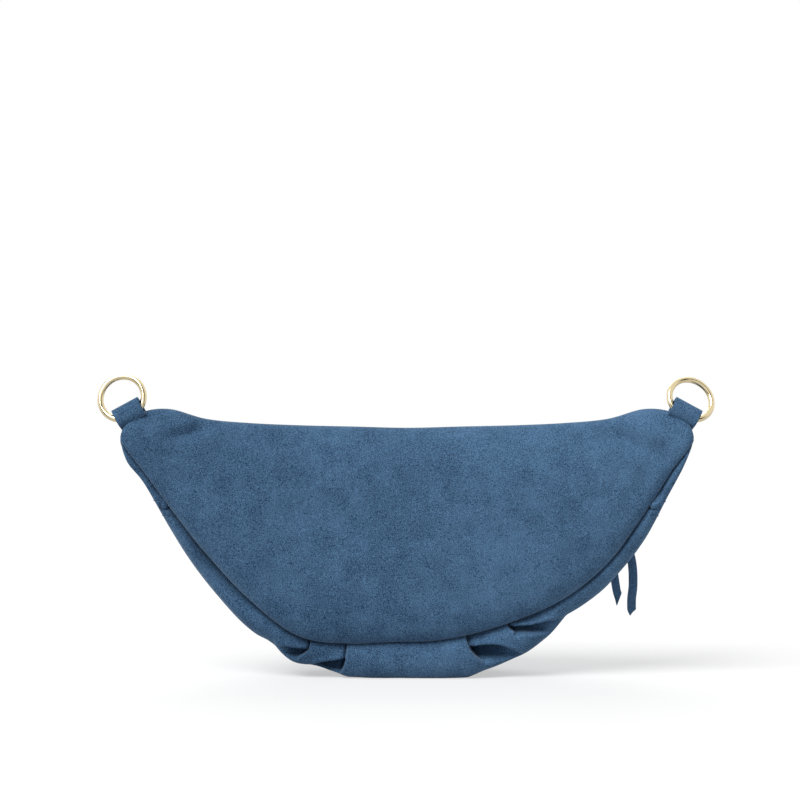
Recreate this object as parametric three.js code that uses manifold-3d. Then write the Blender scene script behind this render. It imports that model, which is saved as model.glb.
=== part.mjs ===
// A half-moon belt bag in suede, zipped across its front, standing on its own pleated bottom.
// Millimetres, +Z up. The wearer's side, the back panel, faces -Y, and the zip faces +Y.
// The origin is on the standing surface, below the middle of the bag's width.
import * as THREE from 'three';
import { mergeVertices } from 'three/addons/utils/BufferGeometryUtils.js';
import Module from 'manifold-3d';

const wasm = await Module();
wasm.setup();

// Driving dimensions of the body
const HALF_WIDTH = 185.3;       // middle to the tip of one corner
const HEIGHT = 177;             // standing surface to the top of the corners
const BACK_BULGE = 16;          // how far the back panel is padded out past its edges
const FRONT_REACH = 50;         // the zip's distance in front of the origin, at the middle
const PLAN_BOW = 64;            // how far the zip line curves back from the middle to a tip
const BELLY_REACH = 18;         // how far the lower front swells past the zip
const ZIP_HEIGHT = 111;         // height of the zip's middle line
const FRONT_LEAN = 0.17;        // the front's backward lean at the zip, run per rise
const TIP_HALF_DEPTH = 3;       // least half depth kept close to the tips
const SUEDE = 1.2;
const CLOTH = 0.6;              // thickness of the lining and of the zip tape
const GAP = 0.3;                // clearance between pieces that touch
const LOOSE_GAP = 0.6;          // clearance where tape or lace passes loosely through metal
const OVERRUN = 60;             // how far a cutting prism runs past what it cuts
const MARGIN = 1;               // spare distance where a piece only has to end short of another

// Knife pleats, gathered into the back seam and facing away from the middle
const PLEAT_PLACES = [40, 64];
const PLEAT_DEPTH = 3.2;
const PLEAT_RETURN = 24;        // width over which a pleat rises again to the surface
const PLEAT_LIP = 1.6;          // width of the step at a pleat's fold
const PLEAT_FADE_SHARES = { end: 0.2, full: 1 }; // where they die out, counted down from the zip

// The section at nine stations from the middle to a tip, as shares of the body's sizes
const TOP_SHARES = [0.922, 0.927, 0.932, 0.941, 0.957, 0.994, 0.986, 0.943, 0.893];
const SEAM_SHARES = {
  left: [0.136, 0.129, 0.157, 0.293, 0.463, 0.63, 0.768, 0.848, 0.893],
  right: [0.136, 0.157, 0.214, 0.298, 0.427, 0.604, 0.763, 0.848, 0.893],
};
const UNDERSIDE_SHARES = {
  left: [-0.012, -0.009, 0.049, 0.186, 0.348, 0.543, 0.721, 0.806, 0.893],
  right: [-0.012, -0.008, 0.073, 0.224, 0.339, 0.498, 0.689, 0.816, 0.893],
};
const TOP_BACKSET_SHARES = [0.09, 0.08, 0.05, -0.005, -0.0625, -0.14, -0.227, -0.294, -0.3125];
const SEAM_BACKSET_SHARES = [-0.14, -0.14, -0.14, -0.148, -0.156, -0.172, -0.25, -0.3, -0.3125];
const BULGE_SHARES = [1, 1, 0.97, 0.875, 0.75, 0.56, 0.4, 0.26, 0.12];
const BELLY_SHARES = [1, 0.95, 0.8, 0.55, 0.28, 0.1, 0, 0, 0];
const FLOOR_START_SHARES = [0.085, 0.085, 0.12, 0.2, 0.3, 0.4, 0.45, 0.48, 0.5];
const FLOOR_END_SHARES = [0.763, 0.76, 0.7, 0.62, 0.56, 0.55, 0.52, 0.51, 0.5];
const BACK_ROUNDNESS = 3;       // exponent of the back panel's rolled edges
const FRONT_RISE_SHARE = 0.12;  // lowest place of the front's middle line near the tips
const UPPER_HANDLE_SHARES = { start: 0.45, end: 0.5 };
const LOWER_HANDLE_SHARE = 0.56;
const BAND_SHARES = { out: 0.3, down: 0.12, under: 0.5 };

// Where the walls have their rows and columns, as places on the section and as stations
const FRONT_ROW_SHARES = [0.3, 0.65, 1, 2, 2.18, 2.36, 2.54, 2.72, 2.88, 3, 3.2, 3.4, 3.6, 3.8, 3.92];
const TAPE_ROW_SHARES = { low: 2.3, high: 3.8 };
const LINING_ROW_SHARES = [0.2, 1, 2, 2.3, 2.6, 2.8, 3, 3.4, 3.86];
const BACK_LINING_SHARES = { top: 0.12, bottom: 0.9 };
const BACK_ROWS = 9;
const BACK_LINING_ROWS = 8;
const PANEL_COLUMNS = 24;
const LINING_COLUMNS = 16;
const PANEL_REACH_SHARE = 0.985;  // last station of the panels
const STATION_ROOM_SHARE = 0.004; // least distance between two stations
const TIP_SKIVE_SHARE = 0.2;      // stretch over which the walls thin out towards a tip
const SEAM_TRIM_SHARES = { back: 0.005, frontLow: 0.016, frontTop: 0.008 };
const SLOPE_STEP_SHARE = 0.001;   // step that a surface's slope is taken over

// Zip
const TOOTH_PITCH = 3.5;
const TOOTH_WIDTH = 1.3;
const TOOTH_HALF_HEIGHT = 1.3;
const TOOTH_NOSE_HALF_HEIGHT = 1.05;
const TOOTH_NOSE = 0.8;         // how far a tooth reaches past the zip's middle line
const TOOTH_LEG = 2.6;          // the far end of the legs that grip the tape
const TAPE_EDGE = 1.35;         // the tape's inner edge, off the zip's middle line
const TAPE_HALF_WIDTH = 14;
const ZIP_INSET = 40.3;         // tip of the bag to the zip's last tooth
const TAPE_TAIL = 9;            // tape past the last tooth
const LINING_TAIL = 4;          // lining past the tape's end
const STOP_LENGTH = 2;
const SLIDER_LENGTH = 13;
const SLIDER_PLATE = 1;
const SLIDER_FLANGE = 0.8;
const SLIDER_PLAY = 0.45;       // teeth to the slider's flanges
const SHOULDER_SHARE = 0.6;     // where the slider reaches its full width, of its half length
const PARTING_SHARES = { start: -0.1, end: 0.45 }; // where the rows part, of the slider's length
const DIAMOND_HALF_WIDTH = 1.2;
const DIAMOND_LENGTH = 4.5;
const BAIL_LENGTH = 10;
const BAIL_WALL = 1.4;          // side of the square bar that the thong hangs on
const HEM_STEP = 0.5;           // slider to panel edge
const TAIL_SLIT = 0.4;          // gap between upper and lower panel past the zip

// Pull thong
const THONG_WIDTH = 6;
const THONG_THICKNESS = 1.5;
const KNOT_DROP = 9;
const KNOT_RADIUS = 4.6;
const SHORT_TAIL_LENGTH = 54;
const LONG_TAIL_LENGTH = 62;
const SHORT_TAIL_ANGLE = -0.05;
const LONG_TAIL_ANGLE = 0.09;
const THONG_SLANT_SHARE = 0.5;  // how far a tail's end is cut on the slant, of its width

// Strap rings in their tabs
const RING_RADIUS = 14.5;       // to the middle of the wire
const RING_WIRE_RADIUS = 2;
const TAB_WIDTH = 19;
const TAB_ANGLE = 0.497;        // outward turn from upright
const TAB_TAIL = 10;            // the length sewn into the corner
const EYE_RADIUS = 4.4;
const EYE_LENGTH = 6.4;         // from the pivot to the inside of the fold
const TAB_ROOT_SIDE_INSET = 8.4; // where the plies part, from the tip of the bag
const TAB_ROOT_TOP_INSET = 8.9; // where the plies part, from the top of the bag
const RING_PIVOT_RISE = 2.1;    // pivot above the middle of the wire at its lowest point
const RING_ANGLES = { left: 0.35, right: 0.56 };
const RING_SIDES = 8;
const RING_STEPS = 28;
const ARC_STEPS = 5;
const BEND_STEPS = 8;
const KNOT_FACES = { around: 12, down: 8 };

const FRONT_ARC_RADIUS = (HALF_WIDTH ** 2 + PLAN_BOW ** 2) / (2 * PLAN_BOW);
const FRONT_AXIS_Y = FRONT_REACH - FRONT_ARC_RADIUS;
const LEAN_ANGLE = Math.atan(FRONT_LEAN);
const STATIONS = TOP_SHARES.length - 1;
const CHAIN_HALF_LENGTH = HALF_WIDTH - ZIP_INSET;
const TAPE_HALF_LENGTH = CHAIN_HALF_LENGTH + TAPE_TAIL;

const lerp = THREE.MathUtils.lerp;
const clamp = THREE.MathUtils.clamp;
const smoothstep = THREE.MathUtils.smoothstep;

// A smooth value between the stations of a table, mirrored at the middle.
function fromTable(shares, station) {
  const place = clamp(Math.abs(station), 0, 1) * STATIONS;
  const low = Math.min(Math.floor(place), STATIONS - 1);
  const at = (index) => shares[Math.min(Math.abs(index), STATIONS)];
  const t = place - low;
  const start = at(low);
  const end = at(low + 1);
  const startSlope = (end - at(low - 1)) / 2;
  const endSlope = low + 1 < STATIONS ? (at(low + 2) - start) / 2 : end - start;
  return (2 * t ** 3 - 3 * t ** 2 + 1) * start + (t ** 3 - 2 * t ** 2 + t) * startSlope
    + (3 * t ** 2 - 2 * t ** 3) * end + (t ** 3 - t ** 2) * endSlope;
}

// A table with a left and a right side, blended across the middle.
function fromSidedTable(sides, station) {
  const rightShare = smoothstep(station, -1 / STATIONS, 1 / STATIONS);
  return lerp(fromTable(sides.left, station), fromTable(sides.right, station), rightShare);
}

function stationX(station) {
  return HALF_WIDTH * Math.sin(station * Math.PI / 2);
}

function xStation(x) {
  return Math.asin(clamp(x / HALF_WIDTH, -1, 1)) * 2 / Math.PI;
}

// The front is a cone about a vertical axis along the zip.
function frontY(x, z) {
  const radius = FRONT_ARC_RADIUS - FRONT_LEAN * (z - ZIP_HEIGHT);
  return FRONT_AXIS_Y + Math.sqrt(Math.max(radius ** 2 - x ** 2, 0));
}

function bezier(points, t) {
  const s = 1 - t;
  const weights = [s ** 3, 3 * s * s * t, 3 * s * t * t, t ** 3];
  return [0, 1].map((axis) => points.reduce((sum, point, i) => sum + weights[i] * point[axis], 0));
}

// The corner points of the body's section at a station, each [y, z].
function sectionPoints(station) {
  const x = stationX(station);
  const top = [
    PLAN_BOW * fromTable(TOP_BACKSET_SHARES, station),
    HEIGHT * fromTable(TOP_SHARES, station),
  ];
  const seam = [
    PLAN_BOW * fromTable(SEAM_BACKSET_SHARES, station),
    HEIGHT * fromSidedTable(SEAM_SHARES, station),
  ];
  const under = Math.max(HEIGHT * fromSidedTable(UNDERSIDE_SHARES, station), 0);
  const middleZ = Math.max(ZIP_HEIGHT, lerp(under, top[1], FRONT_RISE_SHARE));
  const middle = [Math.max(frontY(x, middleZ), top[0] + TIP_HALF_DEPTH), middleZ];
  const span = middle[0] - seam[0];
  const floorStart = [seam[0] + span * fromTable(FLOOR_START_SHARES, station), under];
  const floorEnd = [seam[0] + span * fromTable(FLOOR_END_SHARES, station), under];
  const bulge = BACK_BULGE * fromTable(BULGE_SHARES, station);
  const belly = BELLY_REACH * fromTable(BELLY_SHARES, station);
  return { top, seam, middle, floorStart, floorEnd, bulge, belly };
}

// The back panel's section, from the top edge at turn = 0 to the seam at turn = 1.
function backPoint(station, turn) {
  const { top, seam, bulge } = sectionPoints(station);
  const t = (1 - Math.cos(turn * Math.PI)) / 2;
  const swell = Math.sqrt(Math.max(1 - Math.abs(2 * t - 1) ** BACK_ROUNDNESS, 0));
  const y = lerp(top[0], seam[0], t) - bulge * swell;
  return new THREE.Vector3(stationX(station), y, lerp(top[1], seam[1], t));
}

// How far the cloth lies back inside a knife pleat.
function pleatSink(x) {
  return PLEAT_PLACES.reduce((sink, place) => {
    const past = Math.abs(x) - place;
    const step = smoothstep(past, 0, PLEAT_LIP);
    return Math.max(sink, PLEAT_DEPTH * step * clamp(1 - past / PLEAT_RETURN, 0, 1));
  }, 0);
}

// The front's section in four stretches: the band under the seam, the floor, the belly and the top.
function frontPoint(station, t) {
  const { top, seam, middle, floorStart, floorEnd, belly } = sectionPoints(station);
  const stretch = Math.min(Math.floor(t), 3);
  const part = t - stretch;
  const drop = seam[1] - floorStart[1];
  const rise = middle[1] - floorEnd[1];
  const head = top[1] - middle[1];
  const x = stationX(station);
  let point;
  if (stretch === 0) {
    point = bezier([
      seam,
      [seam[0] - BAND_SHARES.out * drop, seam[1] - BAND_SHARES.down * drop],
      [floorStart[0] - BAND_SHARES.under * drop, floorStart[1]],
      floorStart,
    ], part);
  } else if (stretch === 1) {
    point = [lerp(floorStart[0], floorEnd[0], part), floorStart[1]];
  } else if (stretch === 2) {
    point = bezier([
      floorEnd,
      [middle[0] + belly, floorEnd[1]],
      [middle[0] + FRONT_LEAN * LOWER_HANDLE_SHARE * rise, middle[1] - LOWER_HANDLE_SHARE * rise],
      middle,
    ], part);
  } else {
    const startHandle = UPPER_HANDLE_SHARES.start * head;
    point = bezier([
      middle,
      [middle[0] - FRONT_LEAN * startHandle, middle[1] + startHandle],
      [lerp(top[0], middle[0], UPPER_HANDLE_SHARES.end), top[1]],
      top,
    ], part);
  }
  return new THREE.Vector3(x, point[0], point[1]);
}

// The lining is not pleated: it passes behind all the pleats.
function liningSink(x) {
  const first = PLEAT_PLACES[0];
  const last = PLEAT_PLACES[PLEAT_PLACES.length - 1];
  const rise = smoothstep(Math.abs(x), first - PLEAT_RETURN, first - PLEAT_LIP);
  return PLEAT_DEPTH * rise * (1 - smoothstep(Math.abs(x), last + PLEAT_LIP, last + 2 * PLEAT_RETURN));
}

// The surfaces that the walls lie on: a point for a station and a place t on the section,
// the last t, and how far pleats sink the surface in at an x
const BACK = { point: backPoint, end: 1, sink: () => 0 };
const FRONT = { point: frontPoint, end: 4, sink: pleatSink };
const FRONT_LINING = { point: frontPoint, end: 4, sink: liningSink };

// A surface's point moved inwards by a depth. Walls thin out to nothing at the very tips.
function offsetPoint(surface, station, t, depth) {
  const { point, end, sink } = surface;
  const step = SLOPE_STEP_SHARE;
  const along = point(Math.min(station + step, 1), t).sub(point(Math.max(station - step, -1), t));
  const across = point(station, Math.min(t + step, end)).sub(point(station, Math.max(t - step, 0)));
  const inward = along.cross(across).normalize();
  const thinning = clamp((1 - Math.abs(station)) / TIP_SKIVE_SHARE, 0, 1);
  const fade = smoothstep(3 - t, PLEAT_FADE_SHARES.end, PLEAT_FADE_SHARES.full);
  return point(station, t).addScaledVector(inward, depth * thinning + sink(stationX(station)) * fade);
}

// A closed wall between two depths of a surface, from its grid of stations and t values.
function wall(surface, stations, ts, outer, inner) {
  const rows = stations.length;
  const columns = ts.length;
  const positions = [];
  for (const depth of [outer, inner]) {
    for (const station of stations) {
      for (const t of ts) positions.push(...offsetPoint(surface, station, t, depth).toArray());
    }
  }
  const layer = rows * columns;
  const index = [];
  const quad = (a, b, c, d) => index.push(a, b, c, a, c, d);
  const at = (row, column, side) => side * layer + row * columns + column;
  for (let row = 0; row < rows - 1; row += 1) {
    for (let column = 0; column < columns - 1; column += 1) {
      quad(at(row, column, 0), at(row, column + 1, 0), at(row + 1, column + 1, 0), at(row + 1, column, 0));
      quad(at(row, column, 1), at(row + 1, column, 1), at(row + 1, column + 1, 1), at(row, column + 1, 1));
    }
    const last = columns - 1;
    quad(at(row, 0, 0), at(row + 1, 0, 0), at(row + 1, 0, 1), at(row, 0, 1));
    quad(at(row, last, 0), at(row, last, 1), at(row + 1, last, 1), at(row + 1, last, 0));
  }
  for (let column = 0; column < columns - 1; column += 1) {
    const last = rows - 1;
    quad(at(0, column, 0), at(0, column, 1), at(0, column + 1, 1), at(0, column + 1, 0));
    quad(at(last, column, 0), at(last, column + 1, 0), at(last, column + 1, 1), at(last, column, 1));
  }
  const geometry = new THREE.BufferGeometry();
  geometry.setAttribute('position', new THREE.Float32BufferAttribute(positions, 3));
  geometry.setIndex(index);
  return geometry;
}

function toSolid(geometry) {
  const bare = geometry.clone();
  bare.deleteAttribute('normal');
  bare.deleteAttribute('uv');
  const merged = mergeVertices(bare);
  return new wasm.Manifold(new wasm.Mesh({
    numProp: 3,
    vertProperties: new Float32Array(merged.attributes.position.array),
    triVerts: new Uint32Array(merged.index.array),
  }));
}

function toGeometry(solid) {
  const mesh = solid.getMesh();
  const geometry = new THREE.BufferGeometry();
  geometry.setAttribute('position', new THREE.Float32BufferAttribute(mesh.vertProperties, 3));
  geometry.setIndex([...mesh.triVerts]);
  return geometry;
}

function outline(points) {
  return new THREE.Shape(points.map(([a, b]) => new THREE.Vector2(a, b)));
}

// A prism whose outline is drawn in Y and Z and which runs along X.
function prismAlongX(points, start, end) {
  const geometry = new THREE.ExtrudeGeometry(outline(points), { depth: end - start, bevelEnabled: false });
  const turn = new THREE.Matrix4().makeBasis(
    new THREE.Vector3(0, 1, 0), new THREE.Vector3(0, 0, 1), new THREE.Vector3(1, 0, 0));
  return geometry.applyMatrix4(turn).translate(start, 0, 0);
}

// A prism whose outline is drawn in Z and X and which runs along Y.
function prismAlongY(points, start, end) {
  const swapped = points.map(([x, z]) => [z, x]);
  const geometry = new THREE.ExtrudeGeometry(outline(swapped), { depth: end - start, bevelEnabled: false });
  const turn = new THREE.Matrix4().makeBasis(
    new THREE.Vector3(0, 0, 1), new THREE.Vector3(1, 0, 0), new THREE.Vector3(0, 1, 0));
  return geometry.applyMatrix4(turn).translate(0, start, 0);
}

function steps(start, end, count) {
  return [...Array(count + 1).keys()].map((i) => lerp(start, end, i / count));
}

const bag = new THREE.Group();

const materials = {
  suede: new THREE.MeshStandardMaterial({ color: 0x42607c, roughness: 0.95, metalness: 0 }),
  lining: new THREE.MeshStandardMaterial({ color: 0x34485c, roughness: 0.9, metalness: 0 }),
  tape: new THREE.MeshStandardMaterial({ color: 0x35506a, roughness: 0.9, metalness: 0 }),
  metal: new THREE.MeshStandardMaterial({ color: 0xd8c69c, roughness: 0.2, metalness: 1 }),
};

function addPiece(name, geometry, material, matrix) {
  const mesh = new THREE.Mesh(geometry, material.clone());
  mesh.name = name;
  if (matrix) mesh.applyMatrix4(matrix);
  bag.add(mesh);
  return mesh;
}

// Stations of the walls: even ones, with one more on each side of every pleat's fold.
// The panels and the tapes share them, so that their facets lie side by side.
function wallStations(reach) {
  const places = steps(-PANEL_REACH_SHARE, PANEL_REACH_SHARE, PANEL_COLUMNS);
  for (const place of PLEAT_PLACES) {
    for (const side of [-1, 1]) {
      for (const past of [0, PLEAT_LIP, PLEAT_RETURN / 2]) places.push(xStation(side * (place + past)));
    }
  }
  const inside = places.filter((place) => Math.abs(place) < reach - STATION_ROOM_SHARE);
  const sorted = [-reach, ...inside, reach].sort((a, b) => a - b);
  return sorted.filter((place, i) => i === 0 || place - sorted[i - 1] > STATION_ROOM_SHARE);
}

// The t values of the front's four stretches between two limits.
function frontSteps(low, high) {
  return [low, ...FRONT_ROW_SHARES.filter((t) => t > low && t < high), high];
}

// The tab: two plies sewn into the corner that part round the ring and meet in a fold.
// Its outline is drawn in Y, through the thickness, and Z, along the tab.
function tabOutline(grow, hollow) {
  const outerRadius = EYE_RADIUS + SUEDE + grow;
  const outerLength = EYE_LENGTH + SUEDE + grow;
  const pivot = EYE_RADIUS + SUEDE;
  const plyOuter = GAP / 2 + SUEDE + grow;
  const loop = (radius, length, waist) => {
    const from = Math.asin(waist / radius);
    const low = steps(from, Math.PI / 2, ARC_STEPS)
      .map((a) => [radius * Math.sin(a), pivot - radius * Math.cos(a)]);
    const high = steps(0, Math.PI / 2, ARC_STEPS).slice(1)
      .map((a) => [radius * Math.cos(a), pivot + length * Math.sin(a)]);
    const half = [...low, ...high];
    const mirrored = half.slice(0, -1).reverse().map(([y, z]) => [-y, z]);
    return [...half, ...mirrored];
  };
  const points = [[plyOuter, -TAB_TAIL - grow], ...loop(outerRadius, outerLength, plyOuter)];
  points.push([-plyOuter, -TAB_TAIL - grow]);
  if (!hollow) return points;
  const inner = loop(EYE_RADIUS, EYE_LENGTH, GAP / 2).reverse();
  return [...points, [-GAP / 2, -TAB_TAIL], ...inner, [GAP / 2, -TAB_TAIL]];
}

// The tab's frame: X across its width, Y through it, Z outwards along it.
function tabMatrix(side) {
  const sign = side === 'left' ? -1 : 1;
  const rootX = HALF_WIDTH - TAB_ROOT_SIDE_INSET;
  const rootZ = HEIGHT - TAB_ROOT_TOP_INSET;
  const rootY = sectionPoints(xStation(rootX)).top[0];
  const along = new THREE.Vector3(sign * Math.sin(TAB_ANGLE), 0, Math.cos(TAB_ANGLE));
  const through = new THREE.Vector3(0, 1, 0);
  const across = through.clone().cross(along);
  return new THREE.Matrix4().makeBasis(across, through, along)
    .setPosition(sign * rootX, rootY, rootZ);
}

// The zip's frame at a turn about the front's axis: X along it, Y outwards, Z up the slope.
function zipMatrix(turn) {
  const outward = new THREE.Vector3(Math.sin(turn), Math.cos(turn), 0);
  const along = new THREE.Vector3(Math.cos(turn), -Math.sin(turn), 0);
  const up = new THREE.Vector3(0, 0, 1);
  const normal = outward.clone().applyAxisAngle(along, LEAN_ANGLE);
  const slope = up.clone().applyAxisAngle(along, LEAN_ANGLE);
  const origin = outward.clone().multiplyScalar(FRONT_ARC_RADIUS);
  return new THREE.Matrix4().makeBasis(along, normal, slope)
    .setPosition(origin.x, FRONT_AXIS_Y + origin.y, ZIP_HEIGHT);
}

function zipTurn(x) {
  return Math.asin(x / FRONT_ARC_RADIUS);
}

// The zip's layers, as depths below the suede's outer face
const TAPE_OUTER = SUEDE + GAP;
const TAPE_MIDDLE = TAPE_OUTER + CLOTH / 2;
const TAPE_INNER = TAPE_OUTER + CLOTH;
const LINING_OUTER = TAPE_INNER + GAP;
const LINING_INNER = LINING_OUTER + CLOTH;
const SPREAD = TOOTH_NOSE + DIAMOND_HALF_WIDTH + GAP;
const FLANGE_START = TOOTH_LEG + SLIDER_PLAY;
const SLIDER_MOUTH_HALF_WIDTH = FLANGE_START + SPREAD + SLIDER_FLANGE;
const SLOT_HALF_WIDTH = SLIDER_MOUTH_HALF_WIDTH + HEM_STEP;

// The slider rests against the top stops.
const CHAIN_TURN = zipTurn(CHAIN_HALF_LENGTH);
const SLIDER_TURN = CHAIN_TURN - (STOP_LENGTH + GAP + SLIDER_LENGTH / 2) / FRONT_ARC_RADIUS;

// How far each row of teeth is parted, at a distance past the slider's middle.
function parting(along) {
  const { start, end } = PARTING_SHARES;
  return SPREAD * smoothstep(along, SLIDER_LENGTH * start, SLIDER_LENGTH * end);
}

function tooth(side, turn) {
  const shift = parting((turn - SLIDER_TURN) * FRONT_ARC_RADIUS);
  const profile = [
    [-TOOTH_HALF_HEIGHT, TOOTH_LEG], [-TOOTH_NOSE_HALF_HEIGHT, -TOOTH_NOSE],
    [TOOTH_NOSE_HALF_HEIGHT, -TOOTH_NOSE], [TOOTH_HALF_HEIGHT, TOOTH_LEG],
  ];
  const points = profile.map(([y, z]) => [y - TAPE_MIDDLE, side * (z + shift)]);
  if (side < 0) points.reverse();
  return prismAlongX(points, -TOOTH_WIDTH / 2, TOOTH_WIDTH / 2).applyMatrix4(zipMatrix(turn));
}

function teethOf(side) {
  const pitchTurn = TOOTH_PITCH / FRONT_ARC_RADIUS;
  const offset = side > 0 ? 0 : pitchTurn / 2;
  const endRoom = (STOP_LENGTH + GAP + TOOTH_WIDTH / 2) / FRONT_ARC_RADIUS;
  const teeth = [];
  for (let turn = endRoom - CHAIN_TURN + offset; turn <= CHAIN_TURN - endRoom; turn += pitchTurn) {
    teeth.push(toSolid(tooth(side, turn)));
  }
  return teeth;
}

// A stop clamped on one tape's edge, or on both at the closed end.
function stopBlock(turn, low, high) {
  const half = STOP_LENGTH / 2;
  const cheek = CLOTH / 2 + GAP;
  const clamped = (from, to) => prismAlongX([
    [-TOOTH_HALF_HEIGHT - TAPE_MIDDLE, from], [TOOTH_HALF_HEIGHT - TAPE_MIDDLE, from],
    [TOOTH_HALF_HEIGHT - TAPE_MIDDLE, to], [-TOOTH_HALF_HEIGHT - TAPE_MIDDLE, to],
  ], -half, half);
  const slotAt = (from, to) => prismAlongX([
    [-cheek - TAPE_MIDDLE, from], [cheek - TAPE_MIDDLE, from],
    [cheek - TAPE_MIDDLE, to], [-cheek - TAPE_MIDDLE, to],
  ], -half - MARGIN, half + MARGIN);
  const grip = TAPE_EDGE - GAP;
  let block = toSolid(clamped(low, high));
  if (high > grip) block = block.subtract(toSolid(slotAt(Math.max(low, 0) + grip, high + MARGIN)));
  if (low < -grip) block = block.subtract(toSolid(slotAt(low - MARGIN, Math.min(high, 0) - grip)));
  return toGeometry(block).applyMatrix4(zipMatrix(turn));
}

function addStops() {
  const half = STOP_LENGTH / 2 / FRONT_ARC_RADIUS;
  const topTurn = CHAIN_TURN - half;
  const shift = parting((topTurn - SLIDER_TURN) * FRONT_ARC_RADIUS);
  addPiece('zip_top_stop_upper', stopBlock(topTurn, shift, shift + TOOTH_LEG), materials.metal);
  addPiece('zip_top_stop_lower', stopBlock(topTurn, -shift - TOOTH_LEG, -shift), materials.metal);
  addPiece('zip_bottom_stop', stopBlock(-CHAIN_TURN + half, -TOOTH_LEG, TOOTH_LEG), materials.metal);
}

// The outline of one tape in X and Z, following the parted teeth along its inner edge.
function tapeOutline(side) {
  const tailX = TAPE_HALF_LENGTH;
  const sliderX = FRONT_ARC_RADIUS * Math.sin(SLIDER_TURN);
  const slope = Math.cos(LEAN_ANGLE);
  const middleZ = ZIP_HEIGHT - TAPE_MIDDLE * Math.sin(LEAN_ANGLE);
  const besideSlider = steps(sliderX - SLIDER_LENGTH / 2, sliderX + SLIDER_LENGTH / 2, BEND_STEPS);
  const places = [-tailX, ...besideSlider, tailX];
  const edge = places.map((x) => {
    const shift = parting((zipTurn(x) - SLIDER_TURN) * FRONT_ARC_RADIUS);
    return [x, middleZ + side * (TAPE_EDGE + shift) * slope];
  });
  const outer = middleZ + side * TAPE_HALF_WIDTH * slope;
  const corner = middleZ + side * TAPE_HALF_WIDTH * slope / 2;
  const points = [
    ...edge, [tailX, corner], [tailX - TAPE_TAIL, outer], [TAPE_TAIL - tailX, outer], [-tailX, corner],
  ];
  return side > 0 ? points : points.reverse();
}

// The slot between the panels: full width along the chain, closing to a slit beside it.
function slotOutline(halfWidth, halfLength, slit) {
  const far = HALF_WIDTH + OVERRUN;
  const end = halfLength + halfWidth;
  const right = [
    [halfLength, -halfWidth], [end, -slit / 2], [far, -slit / 2], [far, slit / 2], [end, slit / 2],
    [halfLength, halfWidth],
  ];
  const left = right.map(([x, z]) => [-x, -z]);
  return [...right, ...left].map(([x, z]) => [x, ZIP_HEIGHT + z]);
}

// Suede panels, cut to leave room for the tabs in the corners
const tabRoom = ['left', 'right'].map((side) => {
  const room = prismAlongX(tabOutline(GAP, false), -TAB_WIDTH / 2 - GAP, TAB_WIDTH / 2 + GAP);
  return toSolid(room.applyMatrix4(tabMatrix(side)));
});

// The two large pieces of a front wall that the slot has parted, the upper one first.
function upperAndLower(solid) {
  const bySize = solid.decompose().sort((a, b) => b.volume() - a.volume());
  return bySize.slice(0, 2).sort((a, b) => b.boundingBox().max[2] - a.boundingBox().max[2]);
}

function withTabRoom(solid) {
  return tabRoom.reduce((rest, room) => rest.subtract(room), solid);
}

const backWall = wall(BACK, wallStations(PANEL_REACH_SHARE),
  steps(SEAM_TRIM_SHARES.back, BACK.end - SEAM_TRIM_SHARES.back, BACK_ROWS), 0, SUEDE);
addPiece('back_panel', toGeometry(withTabRoom(toSolid(backWall))), materials.suede);

const frontWall = wall(FRONT, wallStations(PANEL_REACH_SHARE),
  frontSteps(SEAM_TRIM_SHARES.frontLow, FRONT.end - SEAM_TRIM_SHARES.frontTop), 0, SUEDE);
const slot = toSolid(prismAlongY(
  slotOutline(SLOT_HALF_WIDTH, CHAIN_HALF_LENGTH, TAIL_SLIT), -HALF_WIDTH, HALF_WIDTH));
const [upperPanel, lowerPanel] = upperAndLower(withTabRoom(toSolid(frontWall)).subtract(slot));
addPiece('front_upper_panel', toGeometry(upperPanel), materials.suede);
addPiece('front_lower_panel', toGeometry(lowerPanel), materials.suede);

// Lining, one layer in from the zip tape, ending short of the corners
const liningReach = xStation(TAPE_HALF_LENGTH + LINING_TAIL);
const liningStations = steps(-liningReach, liningReach, LINING_COLUMNS);
const backLiningRows = steps(BACK_LINING_SHARES.top, BACK_LINING_SHARES.bottom, BACK_LINING_ROWS);
const backLining = wall(BACK, liningStations, backLiningRows, LINING_OUTER, LINING_INNER);
addPiece('back_lining', backLining, materials.lining);
const frontLining = wall(FRONT_LINING, liningStations, LINING_ROW_SHARES, LINING_OUTER, LINING_INNER);
const liningSlot = toSolid(prismAlongY(
  slotOutline(SLOT_HALF_WIDTH + MARGIN, CHAIN_HALF_LENGTH, TAIL_SLIT), -HALF_WIDTH, HALF_WIDTH));
const [upperLining, lowerLining] = upperAndLower(toSolid(frontLining).subtract(liningSlot));
addPiece('front_upper_lining', toGeometry(upperLining), materials.lining);
addPiece('front_lower_lining', toGeometry(lowerLining), materials.lining);

// The zip's two sides, each a tape with its row of teeth
const tapeWall = toSolid(wall(FRONT, wallStations(liningReach),
  frontSteps(TAPE_ROW_SHARES.low, TAPE_ROW_SHARES.high), TAPE_OUTER, TAPE_INNER));
for (const [name, side] of [['zip_side_upper', 1], ['zip_side_lower', -1]]) {
  const strip = toSolid(prismAlongY(tapeOutline(side), 0, HALF_WIDTH));
  const tape = tapeWall.intersect(strip);
  addPiece(name, toGeometry(wasm.Manifold.union([tape, ...teethOf(side)])), materials.tape);
}
addStops();

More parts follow.
